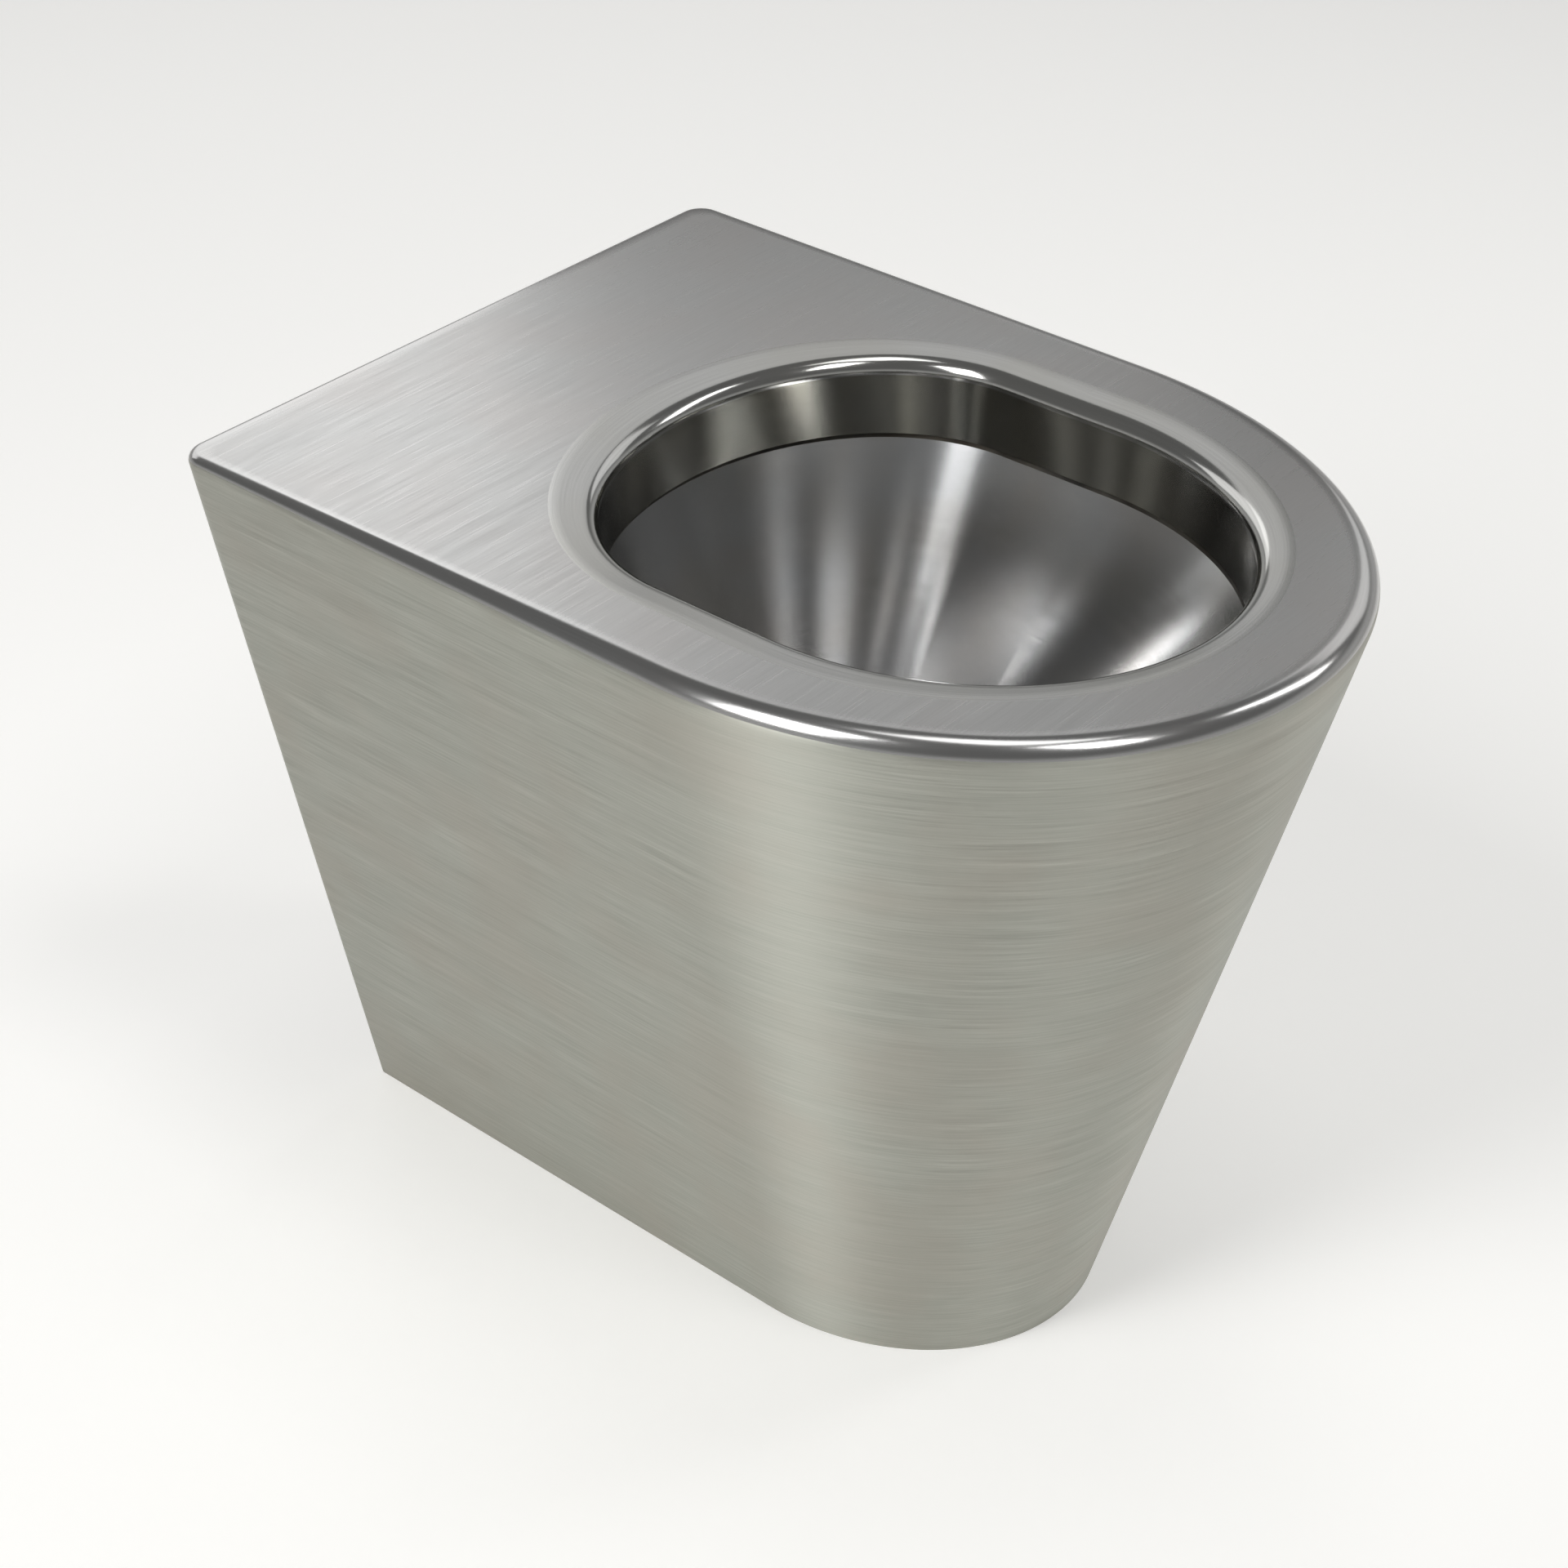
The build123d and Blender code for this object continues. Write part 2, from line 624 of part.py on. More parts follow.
def damping_pad(side):
    """Sheet of damping compound on the inside of one flat side."""
    low = half_width(DAMPER_LOW_Z) - SHEET_ACROSS
    high = half_width(DAMPER_HIGH_Z) - SHEET_ACROSS
    points = [
        (low, DAMPER_LOW_Z),
        (high, DAMPER_HIGH_Z),
        (high - DAMPER_THICK, DAMPER_HIGH_Z),
        (low - DAMPER_THICK, DAMPER_LOW_Z),
    ]
    mirrored = [(side * x, z) for x, z in points]
    return prism_along_y(mirrored, flat_side_y(0.0) + DAMPER_SETBACK, WALL_Y - DAMPER_WALL_GAP)


def damping_pad_left():
    """Damping sheet on the left."""
    return damping_pad(-1)


def damping_pad_right():
    """Damping sheet on the right."""
    return damping_pad(1)


def earth_x():
    """Where the earth bond stands, set by the left end of the upper rail."""
    return EARTH_END_GAP + RAIL_END_INSET - half_width(WALL_BOLT_HIGH_Z - RAIL_HEIGHT / 2)


def earth_stud():
    """Threaded stud welded to the upper rail for the earth bond."""
    start = RAIL_FACE_Y - EARTH_STUD_LENGTH
    return rod_along_y(earth_x(), WALL_BOLT_HIGH_Z, EARTH_STUD_R, start, RAIL_FACE_Y)


def earth_ring(radius, low_y, high_y):
    """Washer on the earth stud."""
    bore = EARTH_STUD_R + EARTH_FIT
    disc = rod_along_y(earth_x(), WALL_BOLT_HIGH_Z, radius, low_y, high_y)
    return disc - rod_along_y(earth_x(), WALL_BOLT_HIGH_Z, bore, low_y, high_y)


def earth_washers():
    """Two washers, one on each side of the tag."""
    gap = EARTH_WASHER_THICK + EARTH_TAG_THICK
    washers = []
    for rear in (RAIL_FACE_Y, RAIL_FACE_Y - gap):
        washers.append(earth_ring(EARTH_WASHER_R, rear - EARTH_WASHER_THICK, rear))
    return Compound(children=washers)


def earth_tag():
    """Flat tag that the bonding wire is crimped to."""
    rear = RAIL_FACE_Y - EARTH_WASHER_THICK
    front = rear - EARTH_TAG_THICK
    blade = block(
        (earth_x() - EARTH_WASHER_R, earth_x() + EARTH_WASHER_R),
        (front, rear),
        (WALL_BOLT_HIGH_Z, WALL_BOLT_HIGH_Z + EARTH_TAG_LENGTH),
    )
    disc = rod_along_y(earth_x(), WALL_BOLT_HIGH_Z, EARTH_WASHER_R, front, rear)
    bore = EARTH_STUD_R + EARTH_FIT
    return blade + disc - rod_along_y(earth_x(), WALL_BOLT_HIGH_Z, bore, front, rear)


def earth_nut():
    """Nut that holds the tag down."""
    rear = RAIL_FACE_Y - 2 * EARTH_WASHER_THICK - EARTH_TAG_THICK
    bore = EARTH_STUD_R + EARTH_FIT
    return hex_nut(
        earth_x(), WALL_BOLT_HIGH_Z, EARTH_NUT_FLATS, bore, rear - EARTH_NUT_THICK, rear
    )


PIECES = [
    deck,
    side_skirt,
    bowl,
    channel_floor,
    flush_channel,
    flush_inlet_box,
    flush_inlet_pipe,
    flush_inlet_seal,
    trap_inlet_leg,
    trap_u_bend,
    trap_riser,
    outlet_spigot,
    upper_wall_rail,
    lower_wall_rail,
    wall_fixing_nuts,
    floor_angle_left,
    floor_angle_right,
    floor_tie_front,
    floor_tie_rear,
    trap_rest_pad,
    trap_saddle,
    deck_stiffener,
    rim_gusset_left,
    rim_gusset_right,
    rim_gusset_front,
    damping_pad_left,
    damping_pad_right,
    earth_stud,
    earth_washers,
    earth_tag,
    earth_nut,
]

os.makedirs("parts", exist_ok=True)
for piece in PIECES:
    solid = piece()
    export_step(solid, f"parts/{piece.__name__}.step")
    print(f"{piece.__name__}: {solid.volume:.0f} mm3")
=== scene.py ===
"""Looks of a floor-standing stainless steel toilet pan for cells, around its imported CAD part.

Everything is in metres in the CAD part's own frame. Sizes in the dataclasses are millimetres,
as a sheet-metal worker would write them, and one factor turns them to metres.
"""

from __future__ import annotations

import logging
import math
from collections.abc import Iterable
from dataclasses import dataclass
from enum import Enum

import bpy
import numpy as np
from mathutils import Matrix


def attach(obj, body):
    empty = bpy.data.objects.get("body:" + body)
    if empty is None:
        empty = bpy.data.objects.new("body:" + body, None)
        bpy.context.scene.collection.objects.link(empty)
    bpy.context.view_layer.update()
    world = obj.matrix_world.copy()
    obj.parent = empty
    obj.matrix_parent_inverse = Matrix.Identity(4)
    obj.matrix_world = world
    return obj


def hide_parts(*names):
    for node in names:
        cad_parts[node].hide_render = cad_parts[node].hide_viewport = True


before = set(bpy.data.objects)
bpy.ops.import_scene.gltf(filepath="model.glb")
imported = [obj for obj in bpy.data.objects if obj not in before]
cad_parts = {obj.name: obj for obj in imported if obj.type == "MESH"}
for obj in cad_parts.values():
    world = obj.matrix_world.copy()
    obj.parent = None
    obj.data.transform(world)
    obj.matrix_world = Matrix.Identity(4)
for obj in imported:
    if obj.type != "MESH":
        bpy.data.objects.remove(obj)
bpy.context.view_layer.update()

MM = 0.001
BODY = "root"
PAN_MIDDLE = np.array([0.0, 0.0, 0.25])
UV_NAME = "brushing"
BUFF_NAME = "buffing"
SHARP_ANGLE = math.radians(40.0)

Socket = bpy.types.NodeSocket
Span = tuple[float, float]

log = logging.getLogger("steel_pan")


# ---------------------------------------------------------------- shapes of the sheet metal


class Finish(Enum):
    """Where on the pan a finish belongs."""

    DECK = "deck"
    RIM = "rim"
    RIM_WALL = "rim_wall"
    SEAM = "shaded_slot_edge"
    CASING = "casing"
    BOWL = "bowl"
    PLATE = "plate"
    TUBE = "tube"
    FASTENER = "fastener"
    RUBBER = "rubber"
    DAMPING = "damping"
    BRASS = "brass"


def by_stretch(place: np.ndarray, *values: np.ndarray) -> np.ndarray:
    """Takes each place's value from the stretch that its whole part names.

    Args:
        place: places along a plan.
        values: one array of values for each stretch.

    Returns:
        The chosen values.
    """
    return np.choose(np.floor(place).astype(int), values, mode="clip")


def places(counts: tuple[int, ...], first: int = 0) -> np.ndarray:
    """Evenly spaced places along a plan.

    Args:
        counts: how many places each stretch has.
        first: number of the first stretch.

    Returns:
        The places in order, none of them twice.
    """
    return np.concatenate([i + np.arange(n) / n for i, n in enumerate(counts, first)])


@dataclass(frozen=True)
class CasingForm:
    """Outside form of the casing: flat sides and a half ellipse in front, all leaning in.

    Every quantity of its plan changes evenly with height, so each line up the side is straight.

    Attributes:
        width: over the deck's bend, in mm.
        depth: from the wall to the front, in mm.
        height: of the deck above the floor, in mm.
        side_lean: of the sides from upright, in degrees.
        front_lean: of the front's middle line from upright, in degrees.
        front_round: reach of the half ellipse at the deck, in mm.
        foot_round: its reach at the floor, in mm.
        corner: radius of the corners at the wall, at the deck, in mm.
        foot_corner: their radius at the floor, in mm.
        edge: bend radius for which width and depth hold, in mm.
        lip: how far the deck's lip reaches down, in mm.
        sheet: thickness in mm.
        back_return: how far the apron turns in along the wall, in mm.
    """

    width: float = 348.0
    depth: float = 484.0
    height: float = 410.0
    side_lean: float = 11.25
    front_lean: float = 13.85
    front_round: float = 205.0
    foot_round: float = 110.0
    corner: float = 13.0
    foot_corner: float = 2.5
    edge: float = 5.0
    lip: float = 12.0
    sheet: float = 1.5
    back_return: float = 28.0

    @property
    def wall_y(self) -> float:
        """Plane of the wall, in mm."""
        return self.depth / 2

    @property
    def lip_z(self) -> float:
        """Height where the deck's lip meets the apron, in mm."""
        return self.height - self.lip

    def reach(self, lean: float, z: np.ndarray) -> np.ndarray:
        """How far a leaning face stands outside the widest part of the bend above it.

        The bend is an arc of the edge radius, so the face's line meets the deck's plane outside
        it by the radius times (tangent + secant - 1) of the lean.

        Args:
            lean: of the face from upright, in degrees.
            z: heights in mm.

        Returns:
            Distances in mm, less than 0 for most of the face.
        """
        slope = math.tan(math.radians(lean))
        sharp = self.edge * (slope + math.hypot(1.0, slope) - 1.0)
        return sharp - slope * (self.height - z)

    def half_width(self, z: np.ndarray) -> np.ndarray:
        """Half the outside width at a height.

        Args:
            z: heights in mm.

        Returns:
            Half widths in mm.
        """
        return self.width / 2 + self.reach(self.side_lean, z)

    def front_y(self, z: np.ndarray) -> np.ndarray:
        """Outside of the front at a height.

        Args:
            z: heights in mm.

        Returns:
            Places along Y in mm.
        """
        return -self.depth / 2 - self.reach(self.front_lean, z)

    def corner_radius(self, z: np.ndarray) -> np.ndarray:
        """Radius of the corners at the wall at a height.

        Args:
            z: heights in mm.

        Returns:
            Radii in mm.
        """
        return self.foot_corner + (self.corner - self.foot_corner) * z / self.height

    def outline(self, t: np.ndarray, z: np.ndarray) -> np.ndarray:
        """Point of the plan at a height.

        The plan has seven stretches: right side, right corner, wall, left corner, left side and
        two quarter ellipses. The whole part of t names the stretch, its fraction the way along:
        a straight line by length, an arc or ellipse by its angle.

        Args:
            t: place along the plan, from 0 up to 7.
            z: heights in mm, of a shape that goes with t.

        Returns:
            Points in mm, with x, y and z last.
        """
        t, z = np.broadcast_arrays(np.asarray(t, float) % 7.0, np.asarray(z, float))
        side = self.half_width(z)
        corner = self.corner_radius(z)
        bulge = self.foot_round + (self.front_round - self.foot_round) * z / self.height
        middle = self.front_y(z) + bulge
        far = self.wall_y - corner
        along = t - np.floor(t)
        turn = np.radians(90.0) * along
        x = by_stretch(
            t,
            side,
            side - corner + corner * np.cos(turn),
            (side - corner) * (1.0 - 2.0 * along),
            corner - side - corner * np.sin(turn),
            -side,
            -side * np.cos(turn),
            side * np.sin(turn),
        )
        y = by_stretch(
            t,
            middle + (far - middle) * along,
            far + corner * np.sin(turn),
            np.full_like(t, self.wall_y),
            far + corner * np.cos(turn),
            far + (middle - far) * along,
            middle - bulge * np.sin(turn),
            middle - bulge * np.cos(turn),
        )
        return np.stack([x, y, z], axis=-1)

    def outward(self, t: np.ndarray, z: np.ndarray) -> np.ndarray:
        """Level outward direction of the plan: its tangent, from two near points, turned right.

        Args:
            t: place along the plan.
            z: heights in mm.

        Returns:
            Unit vectors with no upward part.
        """
        step = 1e-4
        run = self.outline(t + step, z) - self.outline(t - step, z)
        level = np.stack([run[..., 1], -run[..., 0], np.zeros_like(run[..., 0])], axis=-1)
        return level / np.linalg.norm(level, axis=-1, keepdims=True)


@dataclass(frozen=True)
class OpeningForm:
    """Oval opening in the deck, and the ring, roll and rim wall that follow it.

    It has two straight sides, a long half ellipse in front and a short one behind.

    Attributes:
        width: between the straight parts of the rim wall, in mm.
        front_reach: reach of the front half ellipse, in mm.
        straight: length of the straight sides, in mm.
        rear_reach: reach of the rear half ellipse, in mm.
        front_border: from the pan's front to the rim wall, in mm.
        depth: depth of the pan, in mm.
        ring_side: width of the ring at the sides, in mm.
        ring_front: its width in front, in mm.
        ring_rear: its width behind, in mm.
        ring_drop: how far the ring falls towards the opening, in mm.
        roll: radius of the roll, in mm.
        rim_depth: from the deck to the bottom of the rim wall, in mm.
    """

    width: float = 236.0
    front_reach: float = 133.0
    straight: float = 60.0
    rear_reach: float = 94.5
    front_border: float = 53.5
    depth: float = 484.0
    ring_side: float = 17.0
    ring_front: float = 12.0
    ring_rear: float = 21.5
    ring_drop: float = 1.4
    roll: float = 7.5
    rim_depth: float = 39.0

    @property
    def low_y(self) -> float:
        """Where the front half ellipse ends, in mm."""
        return self.front_border - self.depth / 2 + self.front_reach

    @property
    def high_y(self) -> float:
        """Where the rear half ellipse begins, in mm."""
        return self.low_y + self.straight

    def plan(
        self, w: np.ndarray, side: np.ndarray, front: np.ndarray, rear: np.ndarray
    ) -> np.ndarray:
        """Point of an oval with straight sides and a half ellipse at each end.

        Six stretches: right side, two rear quarters, left side, two front quarters. The whole
        part of w names the stretch, its fraction the way along.

        Args:
            w: place along the oval, from 0 up to 6.
            side: half its width, in mm.
            front: reach of its front half ellipse, in mm.
            rear: reach of its rear half ellipse, in mm.

        Returns:
            Points in mm, with x and y last.
        """
        arrays = (np.asarray(w, float) % 6.0, side, front, rear)
        w, side, front, rear = np.broadcast_arrays(*arrays)
        along = w - np.floor(w)
        turn = np.radians(90.0) * along
        x = by_stretch(
            w,
            side,
            side * np.cos(turn),
            -side * np.sin(turn),
            -side,
            -side * np.cos(turn),
            side * np.sin(turn),
        )
        y = by_stretch(
            w,
            self.low_y + self.straight * along,
            self.high_y + rear * np.sin(turn),
            self.high_y + rear * np.cos(turn),
            self.high_y - self.straight * along,
            self.low_y - front * np.sin(turn),
            self.low_y - front * np.cos(turn),
        )
        return np.stack([x, y], axis=-1)

    def oval(self, w: np.ndarray, offset: float) -> np.ndarray:
        """The opening's oval, widened by an offset.

        Args:
            w: places along the oval.
            offset: how far outside the opening, in mm.

        Returns:
            Points in mm, with x and y last.
        """
        side = self.width / 2 + offset
        return self.plan(w, side, self.front_reach + offset, self.rear_reach + offset)

    def ring_edge(self, w: np.ndarray) -> np.ndarray:
        """Outer edge of the ring, which is widest behind the opening.

        Args:
            w: places along the oval.

        Returns:
            Points in mm, with x and y last.
        """
        side = self.width / 2 + self.ring_side
        front = self.front_reach + self.ring_front
        return self.plan(w, side, front, self.rear_reach + self.ring_rear)

    def facing(self, points: np.ndarray, centre_y: float) -> np.ndarray:
        """Places along the oval that lie in the same direction from a centre as given points.

        The direction of a dense row of oval points is found once, and looked up by angle.

        Args:
            points: x and y of the points, in mm.
            centre_y: y of the centre on the middle plane, in mm.

        Returns:
            Places w along the oval.
        """
        dense = np.linspace(0.0, 6.0, 6001)
        shape = self.oval(dense[:-1], 0.0)
        shape = np.concatenate([shape, shape[:1]])
        angle = np.unwrap(np.arctan2(shape[:, 1] - centre_y, shape[:, 0]))
        wanted = np.arctan2(points[..., 1] - centre_y, points[..., 0])
        wanted = angle[0] + np.mod(wanted - angle[0], 2.0 * np.pi)
        return np.interp(wanted, angle, dense)


# ---------------------------------------------------------------- meshes from grids


@dataclass
class Band:
    """Rows of a sheet's front face, all with one kind of brushing.

    Attributes:
        points: places in mm, shape (rows, around, 3).
        brush: UV in mm, shape (rows, around or around + 1, 2); u runs along the brushing.
        buff: how far each row is polished, 0 to 1, shape (rows,) or (rows, around).
        finish: finish of the rows.
    """

    points: np.ndarray
    brush: np.ndarray
    buff: np.ndarray
    finish: Finish


def grid_normals(points: np.ndarray, closed: bool) -> np.ndarray:
    """Normal at each point of a grid: the cross product of the steps around and up it.

    Args:
        points: shape (rows, around, 3).
        closed: whether the last column joins the first.

    Returns:
        Unit vectors of the same shape.
    """
    if closed:
        around = np.roll(points, -1, axis=1) - np.roll(points, 1, axis=1)
    else:
        around = np.gradient(points, axis=1)
    upward = np.gradient(points, axis=0)
    normal = np.cross(around, upward)
    return normal / np.maximum(np.linalg.norm(normal, axis=-1, keepdims=True), 1e-12)


def arc_length(points: np.ndarray, closed: bool) -> np.ndarray:
    """Distance along a row of points, from the first one.

    Args:
        points: shape (around, 2 or 3).
        closed: whether to add the distance back to the first point.

    Returns:
        Distances, one more than the points if closed.
    """
    row = np.concatenate([points, points[:1]]) if closed else points
    steps = np.linalg.norm(np.diff(row, axis=0), axis=-1)
    return np.concatenate([[0.0], np.cumsum(steps)])


def quads(grid: np.ndarray) -> np.ndarray:
    """Four corners of each cell of a grid, in order round the cell.

    Args:
        grid: point numbers or UV, with rows and columns first.

    Returns:
        The same with one row and one column fewer, and the corners as the third axis.
    """
    return np.stack([grid[:-1, :-1], grid[:-1, 1:], grid[1:, 1:], grid[1:, :-1]], axis=2)


def make_object(
    name: str,
    points: np.ndarray,
    faces: np.ndarray,
    corners: np.ndarray | None = None,
    buff: np.ndarray | None = None,
    slots: np.ndarray | None = None,
) -> bpy.types.Object:
    """Puts computed points and four-cornered faces into a mesh object.

    Args:
        name: name of the object.
        points: places in mm, shape (n, 3).
        faces: corner numbers, shape (m, 4).
        corners: UV of each face corner in mm, shape (m, 4, 2).
        buff: polish at each point.
        slots: material slot of each face.

    Returns:
        The new object, linked to the scene.
    """
    mesh = bpy.data.meshes.new(name)
    mesh.vertices.add(len(points))
    mesh.vertices.foreach_set("co", (points * MM).astype(np.float32).ravel())
    mesh.loops.add(faces.size)
    mesh.loops.foreach_set("vertex_index", faces.astype(np.int32).ravel())
    mesh.polygons.add(len(faces))
    mesh.polygons.foreach_set("loop_start", np.arange(0, faces.size, 4, dtype=np.int32))
    mesh.update(calc_edges=True)
    mesh.polygons.foreach_set("use_smooth", np.ones(len(faces), dtype=bool))
    if corners is not None:
        layer = mesh.uv_layers.new(name=UV_NAME)
        layer.data.foreach_set("uv", (corners * MM).astype(np.float32).ravel())
    if buff is not None:
        field = mesh.attributes.new(BUFF_NAME, "FLOAT", "POINT")
        field.data.foreach_set("value", buff.astype(np.float32).ravel())
    if slots is not None:
        mesh.polygons.foreach_set("material_index", slots.astype(np.int32).ravel())
    mesh.update()
    mesh.validate()
    mesh.set_sharp_from_angle(angle=SHARP_ANGLE)
    made = bpy.data.objects.new(name, mesh)
    bpy.context.scene.collection.objects.link(made)
    return made


def sheet_object(
    name: str, bands: list[Band], finishes: tuple[Finish, ...], closed: bool, thickness: float
) -> bpy.types.Object:
    """Makes a sheet of metal from the bands of its front face.

    The back face is each front point moved back along its normal by the thickness. Narrow faces
    close the edges between the two.

    Args:
        name: name of the object.
        bands: bands in order, the last row of one in the same place as the next one's first.
        finishes: finishes of the object's material slots, in order.
        closed: whether the sheet goes all the way round.
        thickness: in mm.

    Returns:
        The new object.
    """
    points = np.concatenate([bands[0].points] + [band.points[1:] for band in bands[1:]])
    rows, around = points.shape[:2]
    shift = rows * around
    front = np.arange(shift).reshape(rows, around)
    if closed:
        front = np.concatenate([front, front[:, :1]], axis=1)
    brush, slots, polish = [], [], []
    for number, band in enumerate(bands):
        cells = quads(band.brush)
        brush.append(cells)
        slots.append(np.full(cells.shape[:2], finishes.index(band.finish)))
        level = np.broadcast_to(band.buff.reshape(len(band.points), -1), band.points.shape[:2])
        polish.append(level[min(number, 1) :])
    front_uv = np.concatenate(brush)
    front_slots = np.concatenate(slots)
    buff = np.concatenate(polish)
    back = points - thickness * grid_normals(points, closed)
    faces = [quads(front).reshape(-1, 4), quads(front + shift)[:, :, ::-1].reshape(-1, 4)]
    uvs = [front_uv.reshape(-1, 4, 2), front_uv[:, :, ::-1].reshape(-1, 4, 2)]
    marks = [front_slots.ravel(), front_slots.ravel()]
    # Each open edge: its point numbers, the UV at the two ends of its faces, their slots, and
    # whether they are wound the other way.
    edges = [
        (front[0], front_uv[0, :, 0], front_uv[0, :, 1], front_slots[0], False),
        (front[-1], front_uv[-1, :, 3], front_uv[-1, :, 2], front_slots[-1], True),
    ]
    if not closed:
        edges += [
            (front[:, 0], front_uv[:, 0, 0], front_uv[:, 0, 3], front_slots[:, 0], True),
            (front[:, -1], front_uv[:, -1, 1], front_uv[:, -1, 2], front_slots[:, -1], False),
        ]
    for index, low, high, slot, flip in edges:
        strip = np.stack([index[:-1], index[:-1] + shift, index[1:] + shift, index[1:]], axis=-1)
        edge_uv = np.stack([low, low, high, high], axis=1)
        faces.append(strip[:, ::-1] if flip else strip)
        uvs.append(edge_uv[:, ::-1] if flip else edge_uv)
        marks.append(slot)
    return make_object(
        name,
        np.concatenate([points.reshape(-1, 3), back.reshape(-1, 3)]),
        np.concatenate(faces),
        np.concatenate(uvs),
        np.concatenate([buff.ravel(), buff.ravel()]),
        np.concatenate(marks),
    )


def round_brush(points: np.ndarray, closed: bool) -> np.ndarray:
    """UV for brushing round an opening or casing: u along the middle row, v up the sheet.

    Args:
        points: rows of a band in mm.
        closed: whether the rows are closed.

    Returns:
        UV in mm, one column more than the points if closed.
    """
    middle = arc_length(points[len(points) // 2], closed)
    up = np.linalg.norm(np.diff(points, axis=0), axis=-1).mean(axis=1)
    height = np.concatenate([[0.0], np.cumsum(up)])
    u, v = np.meshgrid(middle, height)
    return np.stack([u, v], axis=-1)


def cross_brush(points: np.ndarray) -> np.ndarray:
    """UV for straight brushing along X: the place seen from above.

    Args:
        points: rows of a closed band in mm.

    Returns:
        UV in mm, with the first column again at the end.
    """
    wrapped = np.concatenate([points, points[:, :1]], axis=1)
    return wrapped[..., :2]


def smooth_step(x: np.ndarray) -> np.ndarray:
    """Eased rise from 0 to 1: three times the square less twice the cube."""
    x = np.clip(x, 0.0, 1.0)
    return x * x * (3.0 - 2.0 * x)


# ---------------------------------------------------------------- finishes


def tone(code: str) -> tuple[float, float, float, float]:
    """Turns an sRGB hex colour to linear light.

    Args:
        code: such as "B4B3AE".

    Returns:
        Red, green, blue and 1.
    """
    parts = [int(code[i : i + 2], 16) / 255.0 for i in (0, 2, 4)]
    linear = [c / 12.92 if c <= 0.04045 else ((c + 0.055) / 1.055) ** 2.4 for c in parts]
    return (linear[0], linear[1], linear[2], 1.0)


class NodeBoard:
    """One node tree and the nodes that are added to it."""

    def __init__(self, tree: bpy.types.NodeTree) -> None:
        """Clears a node tree and takes it over.

        Args:
            tree: node tree of a material or a world.
        """
        tree.nodes.clear()
        self.tree = tree

    def add(self, kind: str, links: dict | None = None, **settings: object) -> bpy.types.Node:
        """Adds a node with its settings and inputs.

        Args:
            kind: Blender's name of the node.
            links: input name or number to a value, or to a socket that feeds it.
            settings: properties of the node.

        Returns:
            The new node.
        """
        node = self.tree.nodes.new(kind)
        for key, value in settings.items():
            setattr(node, key, value)
        for key, value in (links or {}).items():
            socket = node.inputs[key]
            if isinstance(value, Socket):
                self.tree.links.new(value, socket)
            else:
                socket.default_value = value
        return node

    def noise(self, vector: Socket, scale: float, detail: float, rough: float = 0.5) -> Socket:
        """Adds a noise texture.

        Args:
            vector: place to look up.
            scale: features to the metre, or to the unit of a mapped place.
            detail: how many finer layers it has.
            rough: how strong the finer layers are.

        Returns:
            Its grey output.
        """
        links = {"Vector": vector, "Scale": scale, "Detail": detail, "Roughness": rough}
        return self.add("ShaderNodeTexNoise", links).outputs["Fac"]

    def ramp(self, value: Socket, span: Span, target: Span, **settings: object) -> Socket:
        """Adds a node that maps one span of values to another.

        Args:
            value: value to map.
            span: its lowest and highest value.
            target: what these become.
            settings: properties of the node.

        Returns:
            Its output.
        """
        keys = ("Value", "From Min", "From Max", "To Min", "To Max")
        links = dict(zip(keys, (value, *span, *target)))
        return self.add("ShaderNodeMapRange", links, **settings).outputs[0]

    def blend(self, share: Socket, first: Socket | str, second: str) -> Socket:
        """Adds a node that mixes two colours.

        Args:
            share: how much of the second colour.
            first: a hex colour, or a socket that gives one.
            second: a hex colour.

        Returns:
            Its colour output.
        """
        start = tone(first) if isinstance(first, str) else first
        links = {0: share, 6: start, 7: tone(second)}
        return self.add("ShaderNodeMix", links, data_type="RGBA").outputs[2]

    def relief(self, height: Socket, strength: Socket | float, depth_mm: float) -> Socket:
        """Adds a bump node.

        Args:
            height: height field from 0 to 1.
            strength: how much of it shows.
            depth_mm: height of the field's full range.

        Returns:
            The bent normal.
        """
        links = {"Height": height, "Strength": strength, "Distance": depth_mm * MM}
        return self.add("ShaderNodeBump", links).outputs[0]

    def math(self, operation: str, first: Socket, *others: Socket | float) -> Socket:
        """Adds a node that works out a number.

        Args:
            operation: Blender's name of the operation.
            first: its first input.
            others: the rest of its inputs.

        Returns:
            Its output.
        """
        links = dict(enumerate((first, *others)))
        return self.add("ShaderNodeMath", links, operation=operation).outputs[0]

    def surface(self, inputs: dict) -> None:
        """Adds the surface shader and leads it to the material's output.

        Args:
            inputs: the shader's inputs.
        """
        shader = self.add("ShaderNodeBsdfPrincipled", inputs)
        self.add("ShaderNodeOutputMaterial", {"Surface": shader.outputs[0]})


def new_material(name: str) -> tuple[bpy.types.Material, NodeBoard]:
    """Makes an empty node material.

    Args:
        name: name of the material.

    Returns:
        The material and the board for its node tree.
    """
    material = bpy.data.materials.new(name)
    material.use_nodes = True
    return material, NodeBoard(material.node_tree)


